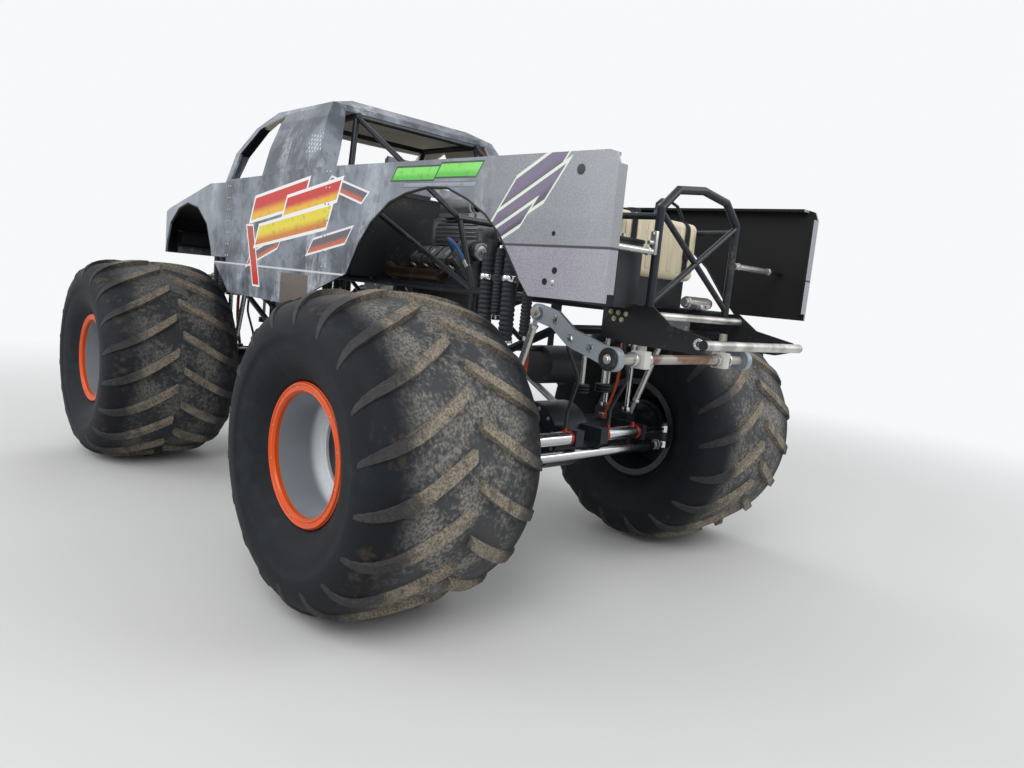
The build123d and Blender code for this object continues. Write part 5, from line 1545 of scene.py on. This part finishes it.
def seat_shell():
    """The alloy shell: two back panels, the side wings, the pan and its four feet."""
    bm = bmesh.new()
    x = SEAT_X
    for (ax, az), (bx, bz) in zip(SHELL_BACK, SHELL_BACK[1:]):
        run = Vector((bx - ax, 0, bz - az))
        place = Matrix.Translation((x + (ax + bx) / 2, 0, (az + bz) / 2))
        turn = Matrix.Rotation(math.atan2(run.x, run.z), 4, "Y")
        size = Matrix.Diagonal((0.03, 0.46, run.length, 1))
        made = bmesh.ops.create_cube(bm, size=1, matrix=place @ turn @ size)
        edges = list({edge for vert in made["verts"] for edge in vert.link_edges})
        bmesh.ops.bevel(bm, geom=edges, offset=0.006, segments=2, affect="EDGES", profile=0.5, material=-1)
    for side in (1, -1):
        crate(bm, (x + 0.03, side * 0.205, 1.98), (x + 0.5, side * 0.235, 2.13), 0.01)
        crate(bm, (x + 0.03, side * 0.2, 2.1), (x + 0.16, side * 0.235, 2.45), 0.01)
        crate(bm, (x, side * 0.13, 2.5), (x + 0.11, side * 0.165, 2.645), 0.01)
        for fore in (0.08, 0.44):
            foot = x + fore
            crate(bm, (foot, side * 0.16, SEAT_LOW.z + 0.001), (foot + 0.04, side * 0.2, 1.96), 0.004)
    crate(bm, (x + 0.02, -0.22, 1.955), (x + 0.51, 0.22, 1.985), 0.008)
    return bm


class TRUCK_OT_cockpit(bpy.types.Operator):
    """Replace the plain seat with a shell, cushions and belts, and grip the steering wheel"""
    bl_idname = "truck.cockpit"
    bl_label = "Cockpit"

    def execute(self, context):
        offset = Vector((SEAT_X, 0, 0))
        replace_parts(finished("seat_shell", seat_shell(), "Sheet Alloy", "chassis", 35), "seat")
        for name, low, high, lean in CUSHIONS:
            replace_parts(cushion(name, offset + Vector(low), offset + Vector(high), lean), "seat")
        belts, wheel, gauges = bmesh.new(), bmesh.new(), bmesh.new()
        for side in (1, -1):
            route = [(SEAT_X + along, side * y - 0.025, z) for along, y, z in BELT]
            band(belts, route, (0, 0.05, 0), 0.003)
        turned(belts, BUCKLE, (SEAT_X + 0.26, 0, 2.09), (0.3, 0, 1), 24)
        finished("seat_belts", belts, "Strap Orange", "chassis", 40)
        turned(wheel, bead_profile(0.165, 0.0185), GRIP_CENTRE + 0.012 * GRIP_AIM, GRIP_AIM, 48)
        turned(wheel, GRIP_HUB, GRIP_CENTRE + 0.024 * GRIP_AIM, GRIP_AIM, 28)
        finished("steering_grip", wheel, "Control Black", "chassis", 50)
        for y in GAUGE_PLACES:
            turned(gauges, GAUGE, (DASH_X, y, DASH_Z), (-1, 0, 0), 24)
        finished("dash_gauges", gauges, "Rod Steel", "chassis", 40)
        return {"FINISHED"}


# Stage

BACKDROP = (0.93, 0.94, 0.96)
SKY = (0.93, 0.96, 1.0)
SKY_STRENGTH = 0.62
CAMERA_PLACE = Vector((-4.8485, 3.5259, 1.7463))
CAMERA_YAW = -43.9746
CAMERA_PITCH = -7.2266
CAMERA_ROLL = 5.5869
CAMERA_LENS = 26.61

# Area lights: place, aim, size, power
LIGHTS = [
    ((-6.0, 8.0, 9.0), (0, 0, 1.2), 7.0, 620),
    ((5.0, 9.5, 6.0), (0, 0, 1.0), 6.0, 330),
    ((-8.0, -5.0, 7.0), (0, 0, 1.2), 6.0, 330),
    ((8.0, -3.0, 7.0), (0.5, 0, 1.2), 6.0, 250),
]


def white_for_camera(tree, plain, bright):
    """Mixes a plain shader with a white one for camera, glossy and transmission rays."""
    path = put(tree, "ShaderNodeLightPath").outputs
    seen = calc(tree, "MAXIMUM", path["Is Camera Ray"], path["Is Glossy Ray"])
    seen = calc(tree, "MAXIMUM", seen, path["Is Transmission Ray"])
    return put(tree, "ShaderNodeMixShader", {0: seen, 1: plain, 2: bright}).outputs[0]


def studio_floor():
    """A pale floor that turns into the white backdrop away from the truck, for the camera only."""
    material, tree, shader = paint("Studio Floor", roughness=0.95)
    feed(tree, shader, "Base Color", mix(tree, noise(tree, 0.6), tint("cfcfcd"), tint("d4d4d2")))
    x, y, _ = axes(tree, coords(tree))
    square = plus(tree, times(tree, x, x), times(tree, y, y))
    far = ramp(tree, calc(tree, "SQRT", square), 4.5, 11.0)
    seen = times(tree, put(tree, "ShaderNodeLightPath").outputs["Is Camera Ray"], far)
    white = put(tree, "ShaderNodeEmission", {"Color": (*BACKDROP, 1), "Strength": 1.0})
    both = put(tree, "ShaderNodeMixShader", {0: seen, 1: shader.outputs[0], 2: white.outputs[0]})
    tree.links.new(both.outputs[0], tree.nodes["Material Output"].inputs["Surface"])
    return material


def light_world(scene):
    """Lights the scene with a soft even sky, which the camera sees as the pale backdrop."""
    world = bpy.data.worlds.new("Studio")
    scene.world = world
    world.use_nodes = True
    tree = world.node_tree
    soft = tree.nodes["Background"]
    soft.inputs["Color"].default_value = (*SKY, 1)
    soft.inputs["Strength"].default_value = SKY_STRENGTH
    white = put(tree, "ShaderNodeBackground", {"Color": (*BACKDROP, 1), "Strength": 1.0})
    both = white_for_camera(tree, soft.outputs[0], white.outputs[0])
    tree.links.new(both, tree.nodes["World Output"].inputs["Surface"])


def place_lamps(scene):
    """Sets up the soft boxes round the truck."""
    for count, (place, aim, size, power) in enumerate(LIGHTS):
        light = bpy.data.lights.new(f"soft_box_{count}", "AREA")
        light.energy = power
        light.size = size
        lamp = bpy.data.objects.new(light.name, light)
        lamp.location = place
        lamp.rotation_euler = (Vector(aim) - Vector(place)).to_track_quat("-Z", "Y").to_euler()
        scene.collection.objects.link(lamp)


def place_camera(scene):
    """Sets up the camera at the photograph's place and angle."""
    yaw, pitch, roll = (math.radians(angle) for angle in (CAMERA_YAW, CAMERA_PITCH, CAMERA_ROLL))
    ahead = Vector((math.cos(yaw) * math.cos(pitch), math.sin(yaw) * math.cos(pitch), math.sin(pitch)))
    right = ahead.cross(Vector(UP)).normalized()
    up = right.cross(ahead)
    tilted_right = math.cos(roll) * right + math.sin(roll) * up
    tilted_up = -math.sin(roll) * right + math.cos(roll) * up
    turn = Matrix((tilted_right, tilted_up, -ahead)).transposed().to_4x4()
    lens = bpy.data.cameras.new("photo_camera")
    lens.lens = CAMERA_LENS
    lens.sensor_width = 36
    lens.clip_end = 500
    camera = bpy.data.objects.new("photo_camera", lens)
    camera.matrix_world = Matrix.Translation(CAMERA_PLACE) @ turn
    scene.collection.objects.link(camera)
    scene.camera = camera


class TRUCK_OT_stage(bpy.types.Operator):
    """Set up the pale floor, the studio lights and the camera"""
    bl_idname = "truck.stage"
    bl_label = "Stage"

    def execute(self, context):
        scene = context.scene
        scene.view_settings.view_transform = "Standard"
        bm = bmesh.new()
        bmesh.ops.create_grid(bm, x_segments=2, y_segments=2, size=scene.truck_sizes.floor_reach)
        mesh = bpy.data.meshes.new("studio_floor")
        bm.to_mesh(mesh)
        bm.free()
        mesh.materials.append(studio_floor())
        floor = bpy.data.objects.new("studio_floor", mesh)
        floor.location.z = -0.001
        scene.collection.objects.link(floor)
        light_world(scene)
        place_lamps(scene)
        place_camera(scene)
        return {"FINISHED"}


STEPS = (
    TRUCK_OT_finishes, TRUCK_OT_tyres, TRUCK_OT_wheel_trim, TRUCK_OT_shocks, TRUCK_OT_sway,
    TRUCK_OT_axle_trim, TRUCK_OT_tank, TRUCK_OT_frame_trim, TRUCK_OT_engine_trim, TRUCK_OT_body_trim,
    TRUCK_OT_cockpit, TRUCK_OT_stage,
)


class TRUCK_PT_looks(bpy.types.Panel):
    """Lists the steps that dress the truck"""
    bl_idname = "TRUCK_PT_looks"
    bl_label = "Truck"
    bl_space_type = "VIEW_3D"
    bl_region_type = "UI"
    bl_category = "Truck"

    def draw(self, context):
        for group in (context.scene.truck_sizes, context.scene.truck_colours):
            for name in group.__annotations__:
                self.layout.prop(group, name)
        for step in STEPS:
            self.layout.operator(step.bl_idname)


CLASSES = (TruckSizes, TruckColours) + STEPS + (TRUCK_PT_looks,)


def register():
    for each in CLASSES:
        bpy.utils.register_class(each)
    bpy.types.Scene.truck_sizes = PointerProperty(type=TruckSizes)
    bpy.types.Scene.truck_colours = PointerProperty(type=TruckColours)


def unregister():
    del bpy.types.Scene.truck_colours
    del bpy.types.Scene.truck_sizes
    for each in reversed(CLASSES):
        bpy.utils.unregister_class(each)


def main():
    register()
    bpy.ops.truck.finishes()
    bpy.ops.truck.tyres()
    bpy.ops.truck.wheel_trim()
    bpy.ops.truck.shocks()
    bpy.ops.truck.sway()
    bpy.ops.truck.axle_trim()
    bpy.ops.truck.tank()
    bpy.ops.truck.frame_trim()
    bpy.ops.truck.engine_trim()
    bpy.ops.truck.body_trim()
    bpy.ops.truck.cockpit()
    bpy.ops.truck.stage()


if __name__ == "__main__":
    main()
